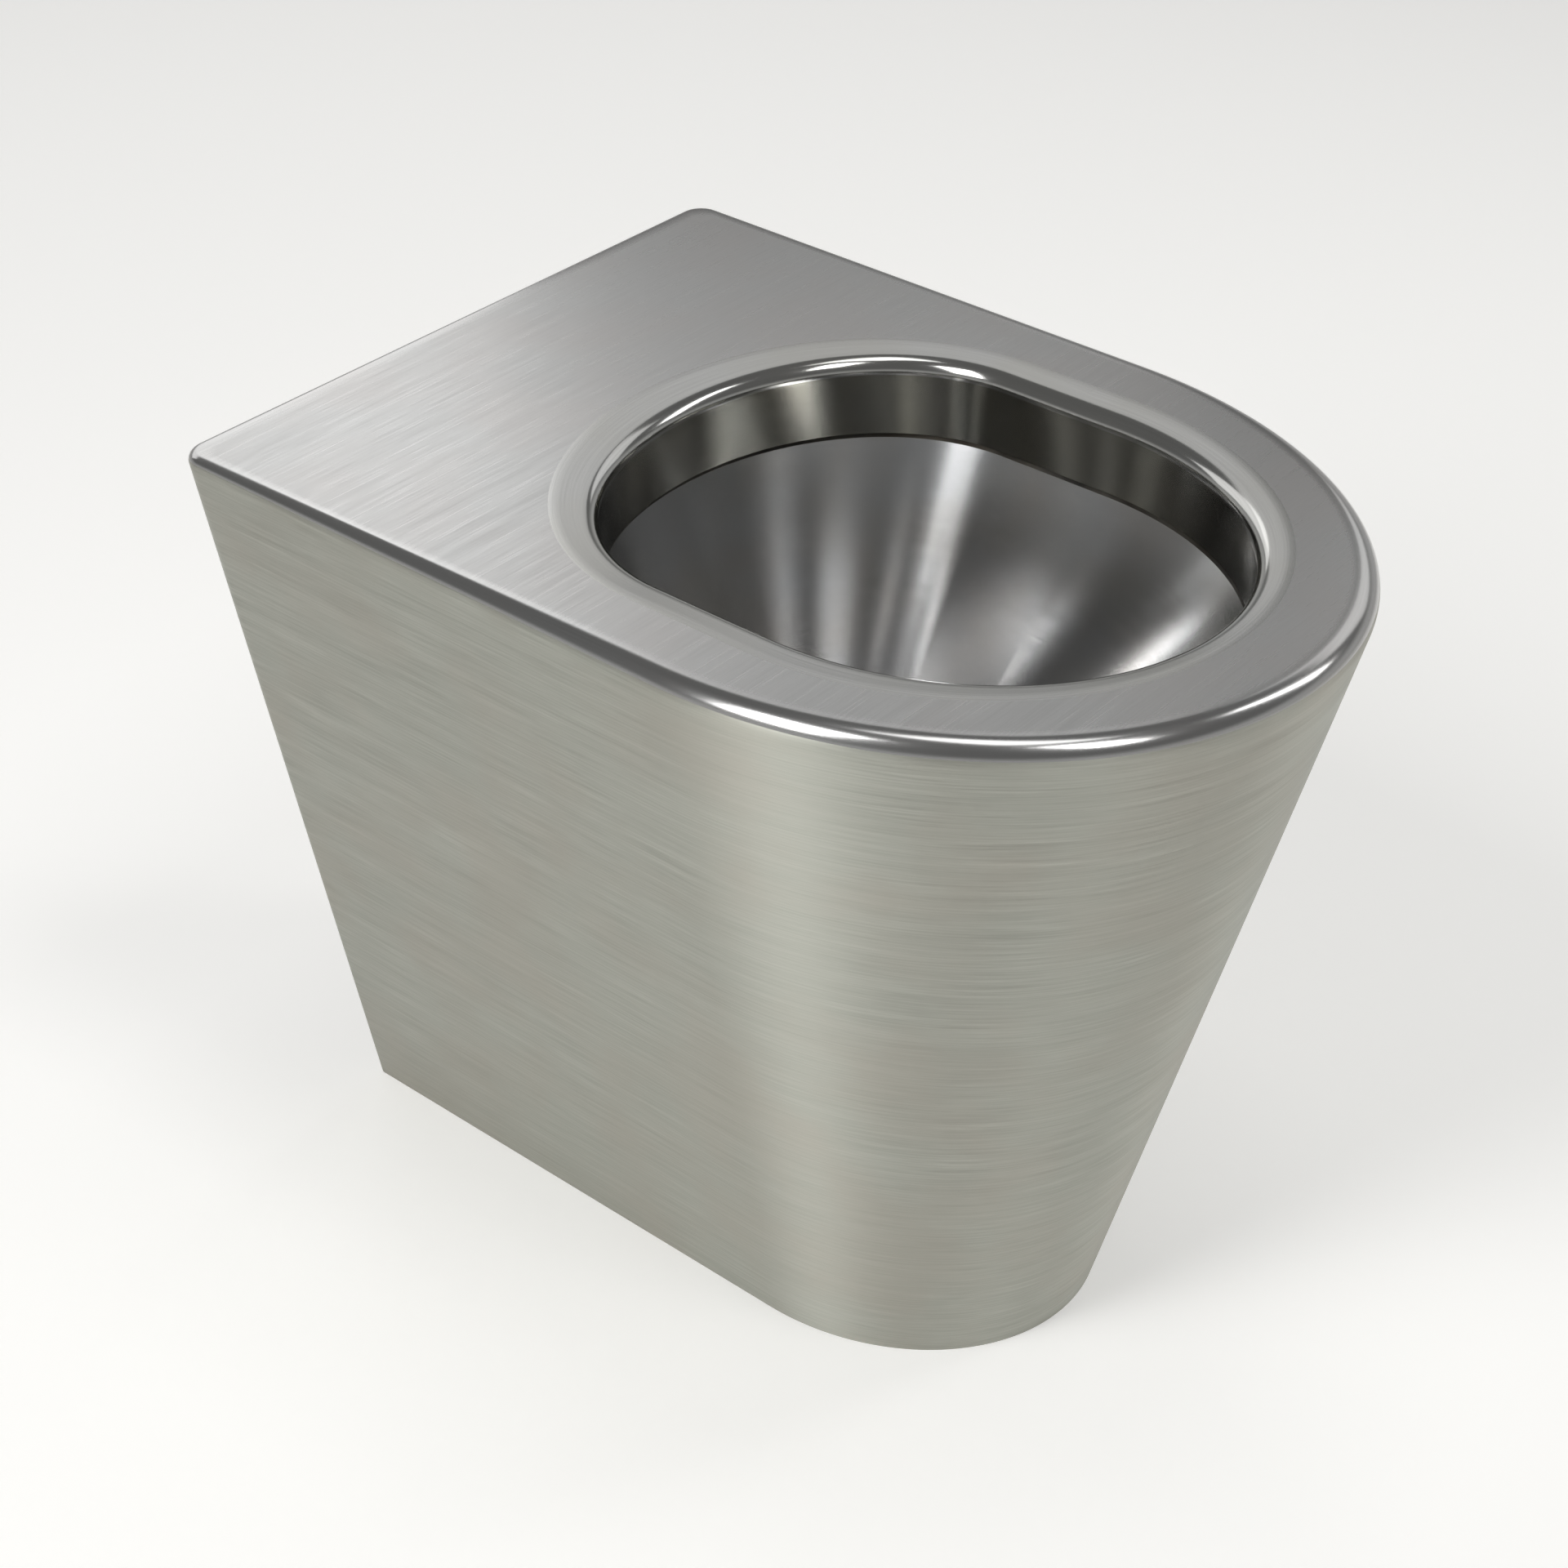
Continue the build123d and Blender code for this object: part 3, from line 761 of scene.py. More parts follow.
@dataclass(frozen=True)
class BrushedSteel:
    """Austenitic stainless sheet, belt-brushed: long fine scratches in one direction.

    The scratches spread a reflection across themselves, so lights show as bands at right angles
    to the brushing. Buffed places are smoother.

    Attributes:
        name: name of the material.
        light: colour of the bright scratches.
        dark: colour of the dull ones.
        tint: colour that the blotches lean to.
        roughness: of the brushed face.
        buffed: roughness where it is polished.
        anisotropy: how much more a reflection spreads across the brushing.
        line_mm: width of a scratch as drawn.
        stretch_mm: length of a scratch as drawn.
        bump: strength of the scratches' relief.
        blotch: strength of the blotches.
    """

    name: str
    light: str
    dark: str
    tint: str
    roughness: float
    buffed: float
    anisotropy: float
    line_mm: float
    stretch_mm: float
    bump: float
    blotch: float = 0.5

    def laid(self, board: NodeBoard, uv: Socket, length: float, width: float) -> Socket:
        """Scales the UV so that one unit of noise is some scratches long and wide.

        Args:
            board: node tree to add to.
            uv: the UV in metres.
            length: how many scratches long.
            width: how many scratches wide.

        Returns:
            The scaled UV.
        """
        along = 1.0 / (length * self.stretch_mm * MM)
        across = 1.0 / (width * self.line_mm * MM)
        links = {"Vector": uv, "Scale": (along, across, 1.0)}
        return board.add("ShaderNodeMapping", links).outputs[0]

    def build(self) -> bpy.types.Material:
        """Makes the material."""
        material, board = new_material(self.name)
        uv = board.add("ShaderNodeUVMap", uv_map=UV_NAME).outputs["UV"]
        # Real scratches are 0.1 to 0.2 mm wide. They are drawn about 1 mm wide, as they would
        # not show in the render otherwise.
        grain = board.noise(self.laid(board, uv, 1.0, 1.0), 1.0, 4.0, 0.62)
        streak = board.noise(self.laid(board, uv, 5.0, 6.0), 1.0, 3.0)
        place = board.add("ShaderNodeTexCoord").outputs["Object"]
        # Handling and rolling leave cloudy patches about 60 mm across.
        cloud = board.noise(place, 1.0 / 0.06, 2.0)
        mixed = board.math("MULTIPLY_ADD", streak, 0.35, grain)
        level = board.ramp(mixed, (0.47, 0.88), (0.0, 1.0))
        share = board.ramp(cloud, (0.4, 0.65), (0.0, self.blotch))
        rough = board.ramp(level, (0.0, 1.0), (self.roughness * 1.12, self.roughness * 0.88))
        polish = board.add("ShaderNodeAttribute", attribute_name=BUFF_NAME).outputs["Fac"]
        smooth = board.add(
            "ShaderNodeMix", {0: polish, 2: rough, 3: self.buffed}, data_type="FLOAT"
        )
        faded = board.ramp(polish, (0.0, 1.0), (self.bump, self.bump * 0.25))
        tangent = board.add("ShaderNodeTangent", direction_type="UV_MAP", uv_map=UV_NAME)
        face = board.blend(level, self.dark, self.light)
        board.surface({
            "Base Color": board.blend(share, face, self.tint),
            "Metallic": 1.0,
            "Roughness": smooth.outputs[0],
            "Anisotropic": self.anisotropy,
            "Anisotropic Rotation": 0.25,
            "Tangent": tangent.outputs[0],
            "Normal": board.relief(mixed, faded, 0.3),
        })
        return material


@dataclass(frozen=True)
class MillSteel:
    """Stainless sheet or tube as it leaves the mill: dull, cloudy, with faint rolling lines.

    Attributes:
        name: name of the material.
        light: colour of the clean places.
        dark: colour of the clouded ones.
        warm: colour of the faint heat tint.
        roughness: typical roughness.
        heat: how much of the heat tint shows.
    """

    name: str
    light: str
    dark: str
    warm: str
    roughness: float
    heat: float = 0.25

    def build(self) -> bpy.types.Material:
        """Makes the material."""
        material, board = new_material(self.name)
        place = board.add("ShaderNodeTexCoord").outputs["Object"]
        # Rolling lines lie about 2 mm apart and run along Z, pickling clouds are 25 mm across
        # and heat tints 45 mm.
        lined = board.add("ShaderNodeMapping",
            {"Vector": place, "Scale": (1.0 / 0.002, 1.0 / 0.002, 1.0 / 0.05)},
        )
        lines = board.noise(lined.outputs[0], 1.0, 3.0)
        cloud = board.noise(place, 1.0 / 0.025, 4.0)
        tinge = board.noise(place, 1.0 / 0.045, 1.0)
        share = board.ramp(cloud, (0.35, 0.65), (0.0, 1.0))
        patch = board.ramp(tinge, (0.5, 0.7), (0.0, self.heat))
        face = board.blend(share, self.dark, self.light)
        rough = board.ramp(cloud, (0.3, 0.7), (self.roughness * 1.2, self.roughness * 0.85))
        board.surface({
            "Base Color": board.blend(patch, face, self.warm),
            "Metallic": 1.0,
            "Roughness": rough,
            "Normal": board.relief(lines, 0.08, 0.3),
        })
        return material


@dataclass(frozen=True)
class MouldedSoft:
    """Matt rubber or bitumen sheet: dark, rough, with a fine grain and pale bloom.

    Attributes:
        name: name of the material.
        base: its colour.
        bloom: colour of the dusty places.
        roughness: typical roughness.
        grain_mm: size of the grain.
        bump: strength of the grain's relief.
    """

    name: str
    base: str
    bloom: str
    roughness: float
    grain_mm: float
    bump: float

    def build(self) -> bpy.types.Material:
        """Makes the material. The dust lies in patches about 18 mm across."""
        material, board = new_material(self.name)
        place = board.add("ShaderNodeTexCoord").outputs["Object"]
        grain = board.noise(place, 1.0 / (self.grain_mm * MM), 3.0)
        dust = board.noise(place, 1.0 / 0.018, 4.0)
        share = board.ramp(dust, (0.45, 0.75), (0.0, 0.6))
        rough = board.ramp(grain, (0.3, 0.7), (self.roughness - 0.06, self.roughness + 0.06))
        board.surface({
            "Base Color": board.blend(share, self.base, self.bloom),
            "Roughness": rough,
            "Normal": board.relief(grain, self.bump, 0.4),
        })
        return material


FINISHES: dict[Finish, BrushedSteel | MillSteel | MouldedSoft] = {
    # Deck sheet, cross-brushed after welding: an even satin with soft reflections.
    Finish.DECK: BrushedSteel(
        "brushed_stainless_deck", "C1C1C0", "B8B8B7", "BDBAB8",
        roughness=0.30, buffed=0.16, anisotropy=0.45,
        line_mm=0.8, stretch_mm=40.0, bump=0.03,
    ),
    # Pressed rim, buffed with a wheel round the opening: nearly a mirror, with faint rings.
    Finish.RIM: BrushedSteel(
        "buffed_stainless_rim", "BEBEBC", "B4B4B2", "B5B4AE",
        roughness=0.24, buffed=0.14, anisotropy=0.50,
        line_mm=0.8, stretch_mm=80.0, bump=0.015,
    ),
    # Upright rim wall: its colour is darker and greyer than the roll above it, painted shade for
    # the inside of the opening.
    Finish.RIM_WALL: BrushedSteel(
        "stainless_rim_wall_painted_shade", "95948D", "898881", "8C8A7E",
        roughness=0.22, buffed=0.16, anisotropy=0.60,
        line_mm=0.8, stretch_mm=80.0, bump=0.01,
    ),
    # Edge of the flush slot under the rim: unpolished, and dark as painted shade for the gap
    # under the rim wall, with a faint warm tinge.
    Finish.SEAM: MillSteel("painted_shade_slot_edge", "55534E", "3B3A37", "4B443A", 0.60, 0.4),
    # Apron, brushed level round the casing: its olive-grey colour is a painted reflection of its
    # surroundings.
    Finish.CASING: BrushedSteel(
        "brushed_stainless_apron", "BBBCB3", "ADAEA5", "B4B0A6",
        roughness=0.45, buffed=0.30, anisotropy=0.92,
        line_mm=0.9, stretch_mm=45.0, bump=0.04,
    ),
    # Bowl, spun and polished round: clear upright bands of light.
    Finish.BOWL: BrushedSteel(
        "polished_stainless_bowl", "C3C4C5", "B6B7B8", "B9B4AE",
        roughness=0.22, buffed=0.13, anisotropy=0.72,
        line_mm=0.8, stretch_mm=45.0, bump=0.03,
    ),
    # Folded plates behind the casing, left as the mill rolled them.
    Finish.PLATE: MillSteel("mill_stainless_plate", "B4B4B0", "9C9C99", "AD9F8B", 0.42),
    # Drawn and pickled tube: smoother, with a little heat tint by the welds.
    Finish.TUBE: MillSteel("pickled_stainless_tube", "B8B8B5", "A0A09E", "AD9A80", 0.34, 0.35),
    # Cold-formed fasteners: brighter and smoother than sheet.
    Finish.FASTENER: MillSteel("cold_formed_stainless", "C3C3C1", "ABABA9", "B5ADA0", 0.26, 0.1),
    # Moulded EPDM rubber: black with a grey bloom.
    Finish.RUBBER: MouldedSoft("moulded_epdm_rubber", "1B1B1C", "3A3937", 0.62, 0.9, 0.25),
    # Rolled bitumen sheet: brown-black and grainy.
    Finish.DAMPING: MouldedSoft("rolled_bitumen_sheet", "222120", "413E3A", 0.78, 2.0, 0.55),
    # Stamped and tinned brass: pale, with the yellow showing through.
    Finish.BRASS: MillSteel("tinned_brass_stamping", "D0C7AC", "B6A985", "BC9F5C", 0.33, 0.6),
}


class Workshop:
    """Makes each finish once and dresses pieces with them."""

    def __init__(self) -> None:
        """Starts with no material made."""
        self.made: dict[Finish, bpy.types.Material] = {}

    def material(self, finish: Finish) -> bpy.types.Material:
        """Material of a finish, made the first time it is asked for."""
        if finish not in self.made:
            self.made[finish] = FINISHES[finish].build()
        return self.made[finish]

    def dress(self, piece: bpy.types.Object, *finishes: Finish) -> None:
        """Puts finishes in a piece's material slots, in order.

        Args:
            piece: object to dress.
            finishes: one finish for each slot.
        """
        for finish in finishes:
            piece.data.materials.append(self.material(finish))

    def dress_node(self, node: str, finish: Finish) -> None:
        """Gives a CAD node a finish through its object's slots, leaving its mesh alone.

        Args:
            node: name of the CAD node.
            finish: its finish.
        """
        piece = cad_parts[node]
        for slot in piece.material_slots:
            slot.link = "OBJECT"
            slot.material = self.material(finish)
        log.info("dressed %s: %s", node, finish.value)

    def fit(
        self, piece: bpy.types.Object, slot: str, nodes: tuple[str, ...], *finishes: Finish
    ) -> bpy.types.Object:
        """Dresses a new piece, lets it ride on the body and stand for CAD nodes.

        Args:
            piece: the new piece.
            slot: the record's material slot; not used.
            nodes: CAD nodes that it replaces, if any.
            finishes: one finish for each of its slots.

        Returns:
            The same piece.
        """
        self.dress(piece, *finishes)
        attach(piece, BODY)
        if nodes:
            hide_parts(*nodes)
        log.info("built %s: %d faces", piece.name, len(piece.data.polygons))
        return piece


# ---------------------------------------------------------------- sub-assemblies


@dataclass
class DeckPress:
    """Pressed top: lip, edge bend, flat, sloped ring, roll and hanging rim wall, one sheet.

    Attributes:
        casing: form of the casing that the lip continues.
        opening: form of the opening.
        rear_bend: bend radius at the wall, in mm.
        front_bend: bend radius at the front, in mm.
        opens_over: distance from the wall over which the bend opens out, in mm.
        crease: half the width over which the flat turns into the ring, in mm.
        centre_y: where the lines across the flat fan out from, in mm.
        edge_polish: how far the bend is polished, 0 to 1.
        edge_fade: distance from the bend over which its polish ends, in mm.
        ring_polish: how far the ring is polished.
        ring_fade: distance from its edge over which its polish begins, in mm.
        wall_polish: how far the rim wall is polished.
    """

    casing: CasingForm
    opening: OpeningForm
    rear_bend: float = 4.2
    front_bend: float = 9.0
    opens_over: float = 380.0
    crease: float = 2.6
    centre_y: float = -25.5
    edge_polish: float = 0.75
    edge_fade: float = 5.0
    ring_polish: float = 0.6
    ring_fade: float = 8.0
    wall_polish: float = 0.9

    def around(self) -> np.ndarray:
        """Places along the casing's plan, closer together in the corners."""
        return places((56, 16, 64, 16, 56, 120, 120))

    def bend_radius(self, t: np.ndarray) -> np.ndarray:
        """Bend radius at each place: it opens out evenly from the wall to the front.

        Args:
            t: places along the casing's plan.

        Returns:
            Radii in mm.
        """
        y = self.casing.outline(t, self.casing.height)[..., 1]
        share = np.clip((self.casing.wall_y - y) / self.opens_over, 0.0, 1.0)
        return self.rear_bend + (self.front_bend - self.rear_bend) * share

    def edge_bands(self, t: np.ndarray) -> list[Band]:
        """Lip and bend. The bend is an arc that touches the leaning side and the flat.

        Args:
            t: places along the casing's plan.

        Returns:
            Three bands, the lower two brushed like the apron; the last row lies level with the
            flat.
        """
        form = self.casing
        rise = form.outline(t, form.height) - form.outline(t, 0.0)
        level = form.outward(t, form.height)
        slope = np.einsum("ij,ij->i", rise, level) / form.height
        tilt = np.arctan(slope)
        radius = self.bend_radius(t)
        touch = form.height - radius * (1.0 + np.sin(tilt))
        steps = np.linspace(0.0, 1.0, 4)[:, None]
        lip = form.outline(t[None, :], form.lip_z + steps * (touch - form.lip_z)[None, :])
        foot = form.outline(t, touch)
        outward = form.outward(t, touch)
        bend_rows, brushed_rows = 15, 5
        sweep = np.linspace(0.0, 1.0, bend_rows)[:, None]
        angle = -tilt + sweep * (np.pi / 2 + tilt)
        level_step = radius * (np.cos(angle) - np.cos(tilt))
        bend = foot[None] + outward[None] * level_step[..., None]
        bend[..., 2] += radius * (np.sin(angle) + np.sin(tilt))
        shine = smooth_step(np.linspace(0.0, 2.0, bend_rows)) * self.edge_polish
        low, high = bend[:brushed_rows], bend[brushed_rows - 1 :]
        low_shine, high_shine = shine[:brushed_rows], shine[brushed_rows - 1 :]
        return [
            Band(lip, round_brush(lip, True), np.zeros(len(lip)), Finish.CASING),
            Band(low, round_brush(low, True), low_shine, Finish.CASING),
            Band(high, round_brush(high, True), high_shine, Finish.DECK),
        ]

    def flat_band(self, start: np.ndarray, w: np.ndarray) -> Band:
        """Flat deck: straight lines from the end of the bend to the edge of the ring.

        Args:
            start: last row of the bend.
            w: matching places along the opening.

        Returns:
            One band.
        """
        width = self.ring_width(w)
        edge = self.rows(w, width + self.crease, np.full_like(w, self.casing.height))
        share = np.linspace(0.0, 1.0, 20)[:, None, None]
        points = start[None] + share * (edge - start)[None]
        distance = np.linalg.norm(points - start[None], axis=-1)
        shine = self.edge_polish * (1.0 - smooth_step(distance / self.edge_fade))
        return Band(points, cross_brush(points), shine, Finish.DECK)

    def ring_width(self, w: np.ndarray) -> np.ndarray:
        """Distance from the rim wall to the ring's outer edge at each place.

        Args:
            w: places along the opening.

        Returns:
            Widths in mm.
        """
        return np.linalg.norm(self.opening.ring_edge(w) - self.opening.oval(w, 0.0), axis=-1)

    def rows(self, w: np.ndarray, offset: np.ndarray, height: np.ndarray) -> np.ndarray:
        """Points at an offset from the rim wall, measured along the line to the ring's edge.

        Args:
            w: places along the opening.
            offset: offsets in mm, of a shape that goes with w.
            height: heights in mm, of a shape that goes with w.

        Returns:
            Points in mm, with x, y and z last.
        """
        inner = self.opening.oval(w, 0.0)
        outer = self.opening.ring_edge(w)
        offset, height = np.broadcast_arrays(offset, height)
        share = (offset / self.ring_width(w))[..., None]
        return np.concatenate([inner + share * (outer - inner), height[..., None]], axis=-1)

    def rim_bands(self, w: np.ndarray) -> list[Band]:
        """Ring, roll and rim wall.

        The ring falls by its slope, eased in over the crease by a parabola. The roll is an arc
        that touches the ring and the upright wall.

        Args:
            w: places along the opening.

        Returns:
            Three bands.
        """
        form = self.opening
        top = self.casing.height
        width = self.ring_width(w)[None, :]
        slope = form.ring_drop / width
        lean = np.arctan(slope)
        centre_z = top - form.ring_drop + slope * form.roll - form.roll / np.cos(lean)
        roll_start = form.roll * (1.0 - np.sin(lean))
        steps = np.linspace(1.0, -1.0, 8)[:, None]
        inside = (1.0 - steps) * self.crease
        eased = width + steps * self.crease
        eased_z = top - slope * inside**2 / (4.0 * self.crease)
        share = np.linspace(0.0, 1.0, 7)[1:, None]
        even = (width - self.crease) + share * (roll_start - width + self.crease)
        even_z = top - slope * (width - even)
        offset = np.concatenate([eased, even])
        ring = self.rows(w, offset, np.concatenate([eased_z, even_z]))
        sweep = np.linspace(0.0, 1.0, 17)[:, None]
        angle = np.pi / 2 + lean + sweep * (np.pi / 2 - lean)
        roll = self.rows(
            w, form.roll + form.roll * np.cos(angle), centre_z + form.roll * np.sin(angle)
        )
        fall = centre_z + np.linspace(0.0, 1.0, 16)[:, None] * (top - form.rim_depth - centre_z)
        wall = self.rows(w, np.zeros_like(fall), fall)
        climb = smooth_step((width + self.crease - offset) / self.ring_fade)
        rise = self.ring_polish + (1.0 - self.ring_polish) * smooth_step(3.0 * sweep)
        rise = np.broadcast_to(rise, roll.shape[:2])
        even_polish = np.full(len(wall), self.wall_polish)
        # The rim wall's finish is coloured darker than the roll, as painted shade inside the
        # opening.
        return [
            Band(ring, round_brush(ring, True), climb * self.ring_polish, Finish.RIM),
            Band(roll, round_brush(roll, True), rise, Finish.RIM),
            Band(wall, round_brush(wall, True), even_polish, Finish.RIM_WALL),
        ]

    def build(self, shop: Workshop) -> None:
        """Makes and dresses the deck."""
        t = self.around()
        edge = self.edge_bands(t)
        start = edge[-1].points[-1]
        w = self.opening.facing(start[:, :2], self.centre_y)
        bands = edge + [self.flat_band(start, w)] + self.rim_bands(w)
        finishes = (Finish.DECK, Finish.RIM, Finish.CASING, Finish.RIM_WALL)
        deck = sheet_object("deck_press", bands, finishes, True, self.casing.sheet)
        shop.fit(deck, "deck_steel", ("deck",), *finishes)


@dataclass
class CasingApron:
    """Apron: one sheet from return to return, round both sides and the front."""

    casing: CasingForm

    def build(self, shop: Workshop) -> None:
        """Makes and dresses the apron: straight lines from the foot's plan to the lip's."""
        form = self.casing
        z = np.linspace(0.0, form.lip_z, 48)[:, None]
        corner = form.corner_radius(z)
        reach = (form.back_return - corner) / (2.0 * (form.half_width(z) - corner))
        left = 3.0 - reach * np.linspace(1.0, 0.0, 8)[None, :-1]
        right = 2.0 + reach * np.linspace(0.0, 1.0, 8)[None, :]
        middle = places((14, 50, 110, 110, 50, 14), first=3)
        middle = np.broadcast_to(middle, (len(z), len(middle)))
        t = np.concatenate([left, middle, right], axis=1)
        points = form.outline(t, z)
        bands = [Band(points, round_brush(points, False), np.zeros(len(z)), Finish.CASING)]
        apron = sheet_object("casing_apron", bands, (Finish.CASING,), False, form.sheet)
        shop.fit(apron, "casing_steel", ("side_skirt",), Finish.CASING)


@dataclass
class BowlCone:
    """Basin: straight lines from a round throat up to an oval mouth.

    Attributes:
        opening: form of the opening that the mouth follows.
        throat_y: place of the throat, in mm.
        throat_z: height of the throat, in mm.
        throat_r: radius of the throat, in mm.
        mouth_z: height of the mouth, in mm.
        mouth_gap: how far the mouth stands outside the opening, in mm.
        side_angle: half the angle of the throat's arc that meets a straight side, in degrees.
        slot_edge: height of the band by the flush slot whose colour is painted shade, in mm.
        sheet: thickness in mm.
    """

    opening: OpeningForm
    throat_y: float = 3.5
    throat_z: float = 200.0
    throat_r: float = 42.5
    mouth_z: float = 372.5
    mouth_gap: float = 3.7
    side_angle: float = 18.0
    slot_edge: float = 4.6
    sheet: float = 1.5

    def throat_angle(self, w: np.ndarray) -> np.ndarray:
        """Angle on the throat that faces each place along the oval.

        Args:
            w: places along the oval, from 0 to 6.

        Returns:
            Angles in radians.
        """
        turn = self.side_angle
        marks = [-turn, turn, 90.0, 180.0 - turn, 180.0 + turn, 270.0, 360.0 - turn]
        return np.radians(np.interp(w, np.arange(7), marks))

    def build(self, shop: Workshop) -> None:
        """Makes and dresses the bowl. Its front face looks up and inwards."""
        w = places((44, 76, 76, 44, 92, 92))
        angle = self.throat_angle(w)
        foot = np.stack(
            [
                self.throat_r * np.cos(angle),
                self.throat_y + self.throat_r * np.sin(angle),
                np.full_like(w, self.throat_z),
            ],
            axis=-1,
        )
        mouth = self.opening.oval(w, self.mouth_gap)
        mouth = np.concatenate([mouth, np.full((len(w), 1), self.mouth_z)], axis=-1)
        edge_share = 1.0 - self.slot_edge / (self.mouth_z - self.throat_z)
        # The top band of the bowl, under the rim wall, is coloured dark as painted shade for the
        # gap there.
        dull, bright = (1.0, edge_share, 4, Finish.SEAM), (edge_share, 0.0, 56, Finish.BOWL)
        bands = []
        for high, low, rows, finish in (dull, bright):
            share = np.linspace(high, low, rows)[:, None, None]
            points = foot[None] + share * (mouth - foot)[None]
            bands.append(Band(points, round_brush(points, True), np.zeros(rows), finish))
        finishes = (Finish.BOWL, Finish.SEAM)
        bowl = sheet_object("bowl_cone", bands, finishes, True, self.sheet)
        shop.fit(bowl, "bowl_steel", ("bowl",), *finishes)


def hang(
    name: str, data: bpy.types.ID, angles: Span, start: np.ndarray, distance: float = 0.0
) -> bpy.types.Object:
    """Adds a lamp or camera that faces back along a direction.

    Args:
        name: name of the object.
        data: its lamp or camera.
        angles: degrees from +X towards +Y, and degrees above the floor.
        start: point that the direction starts from, in metres.
        distance: how far out it stands, in metres.

    Returns:
        The new object.
    """
    a, e = np.radians(angles)
    back = np.array([math.cos(a) * math.cos(e), math.sin(a) * math.cos(e), math.sin(e)])
    right = np.array([-math.sin(a), math.cos(a), 0.0])
    rows = np.column_stack([right, np.cross(back, right), back, start + distance * back])
    holder = bpy.data.objects.new(name, data)
    holder.matrix_world = Matrix([*rows.tolist(), [0.0, 0.0, 0.0, 1.0]])
    bpy.context.scene.collection.objects.link(holder)
    return holder


@dataclass(frozen=True)
class Softbox:
    """Rectangular soft box that looks at the pan, unseen by the camera.

    Attributes:
        name: name of the lamp.
        angles: degrees from +X towards +Y, and degrees above the floor.
        distance: metres from the middle of the pan.
        size: width and height in metres.
        radiance: brightness of its face, which a mirror would show.
    """

    name: str
    angles: Span
    distance: float
    size: tuple[float, float]
    radiance: float

    def build(self) -> None:
        """Hangs the lamp. Its power is its area times its brightness times pi."""
        lamp = bpy.data.lights.new(self.name, "AREA")
        lamp.shape = "RECTANGLE"
        lamp.size, lamp.size_y = self.size
        lamp.energy = self.radiance * self.size[0] * self.size[1] * math.pi
        holder = hang(self.name, lamp, self.angles, PAN_MIDDLE, self.distance)
        holder.visible_camera = False


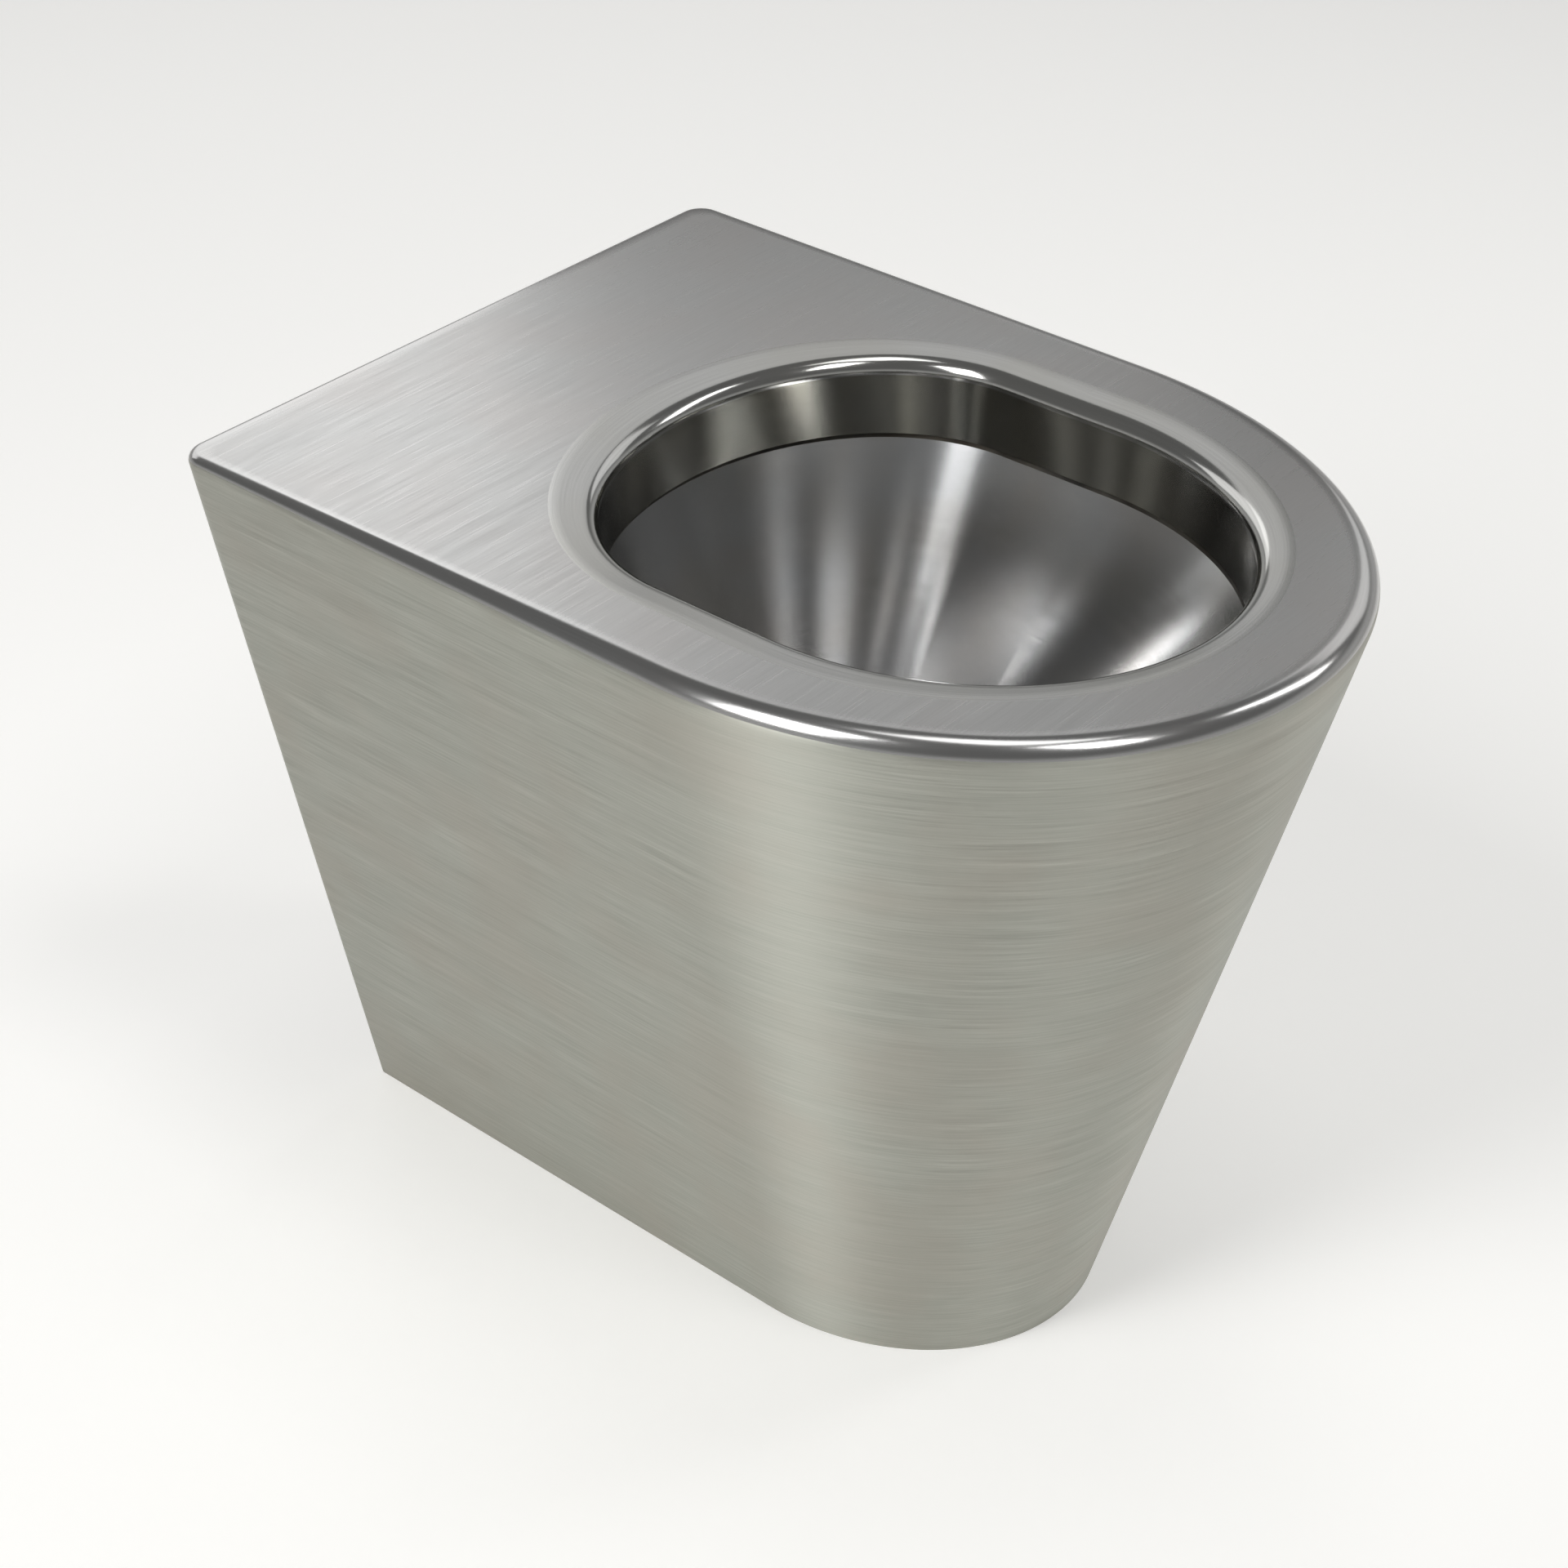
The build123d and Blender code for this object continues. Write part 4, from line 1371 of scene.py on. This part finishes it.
@dataclass(frozen=True)
class Studio:
    """Floor, lamps, world and camera.

    Attributes:
        lift: how much the floor brightens itself where it is seen or reflected.
        floor_half: half the width of the floor, in mm.
        room_low: strength of the room's light near the horizon.
        room_high: its strength above.
        view: direction of the camera from the pan, in degrees as for a soft box.
        view_place: place of the camera, in metres.
        lens: focal length on a sensor 36 mm wide, in mm.
    """

    lift: float = 0.26
    floor_half: float = 12000.0
    room_low: float = 0.50
    room_high: float = 0.17
    view: Span = (-139.865, 34.999)
    view_place: tuple[float, float, float] = (-0.8873, -0.7103, 1.0422)
    lens: float = 68.33

    def floor(self) -> None:
        """Lays a wide pale matt floor, the same tone all over."""
        material, board = new_material("matt_pale_floor")
        place = board.add("ShaderNodeTexCoord").outputs["Object"]
        # The pale background: seen directly, in metal and through glass alike, the floor adds
        # a little light of its own, and still takes the pan's shadow.
        seen = board.add("ShaderNodeLightPath").outputs
        direct = board.math("MAXIMUM", seen["Is Camera Ray"], seen["Is Glossy Ray"])
        either = board.math("MAXIMUM", direct, seen["Is Transmission Ray"])
        board.surface(
            {
                "Base Color": board.blend(board.noise(place, 0.7, 2.0), "F1F0ED", "F3F2EF"),
                "Roughness": 0.9,
                "Specular IOR Level": 0.1,
                "Emission Color": tone("FFFFFF"),
                "Emission Strength": board.math("MULTIPLY", either, self.lift),
            }
        )
        square = np.array([[-1, -1, 0], [1, -1, 0], [1, 1, 0], [-1, 1, 0]])
        ground = make_object("floor", square * self.floor_half, np.array([[0, 1, 2, 3]]))
        ground.data.materials.append(material)

    def world(self) -> None:
        """Dim even room with a pale band near the horizon, where the walls meet the floor."""
        room = bpy.data.worlds.new("studio_room")
        bpy.context.scene.world = room
        room.use_nodes = True
        board = NodeBoard(room.node_tree)
        place = board.add("ShaderNodeTexCoord").outputs["Generated"]
        height = board.add("ShaderNodeSeparateXYZ", {0: place}).outputs[2]
        strengths = (self.room_low, self.room_high)
        band = board.ramp(height, (0.10, 0.34), strengths, interpolation_type="SMOOTHSTEP")
        shade = board.add("ShaderNodeBackground", {"Color": tone("FBFBFA"), "Strength": band})
        board.add("ShaderNodeOutputWorld", {"Surface": shade.outputs[0]})

    def camera(self) -> None:
        """Sets the camera at the photograph's angle, worked out from the object's outline."""
        lens = bpy.data.cameras.new("view")
        lens.lens = self.lens
        lens.sensor_width = 36.0
        lens.clip_start = 0.02
        place = np.array(self.view_place)
        bpy.context.scene.camera = hang("view", lens, self.view, place)

    def build(self) -> None:
        """Sets up the whole studio."""
        self.floor()
        for softbox in SOFTBOXES:
            softbox.build()
        self.world()
        self.camera()
        bpy.context.scene.view_settings.view_transform = "Standard"


SOFTBOXES = (
    Softbox("rear_softbox", (77.0, 30.0), 2.6, (2.4, 1.0), 1.1),
    Softbox("rear_fill", (44.0, 36.0), 2.6, (1.3, 0.8), 0.62),
    Softbox("right_softbox", (2.0, 33.0), 2.4, (1.2, 1.0), 0.8),
    Softbox("top_softbox", (0.0, 85.0), 2.4, (0.8, 0.8), 2.6),
    Softbox("front_strip", (-100.0, 60.0), 2.4, (0.45, 0.8), 8.5),
    Softbox("left_strip", (172.0, 44.0), 2.2, (0.7, 1.2), 8.5),
    Softbox("front_right_strip", (-38.0, 42.0), 2.4, (0.35, 1.2), 5.0),
)

PLAIN_NODES: dict[Finish, tuple[str, ...]] = {
    Finish.PLATE: (
        "channel_floor",
        "flush_channel",
        "flush_inlet_box",
        "upper_wall_rail",
        "lower_wall_rail",
        "floor_angle_left",
        "floor_angle_right",
        "floor_tie_front",
        "floor_tie_rear",
        "trap_saddle",
        "deck_stiffener",
        "rim_gusset_left",
        "rim_gusset_right",
        "rim_gusset_front",
    ),
    Finish.TUBE: (
        "flush_inlet_pipe",
        "trap_inlet_leg",
        "trap_u_bend",
        "trap_riser",
        "outlet_spigot",
    ),
    Finish.RUBBER: ("flush_inlet_seal", "trap_rest_pad"),
    Finish.FASTENER: ("wall_fixing_nuts", "earth_stud", "earth_washers", "earth_nut"),
    Finish.DAMPING: ("damping_pad_left", "damping_pad_right"),
    Finish.BRASS: ("earth_tag",),
}


def main() -> None:
    """Builds the sub-assemblies in order and reports each piece."""
    logging.basicConfig(level=logging.INFO, format="%(message)s")
    shop = Workshop()
    casing = CasingForm()
    opening = OpeningForm()
    DeckPress(casing, opening).build(shop)
    CasingApron(casing).build(shop)
    BowlCone(opening).build(shop)
    for finish, nodes in PLAIN_NODES.items():
        for node in nodes:
            shop.dress_node(node, finish)
    Studio().build()


if __name__ == "__main__":
    main()
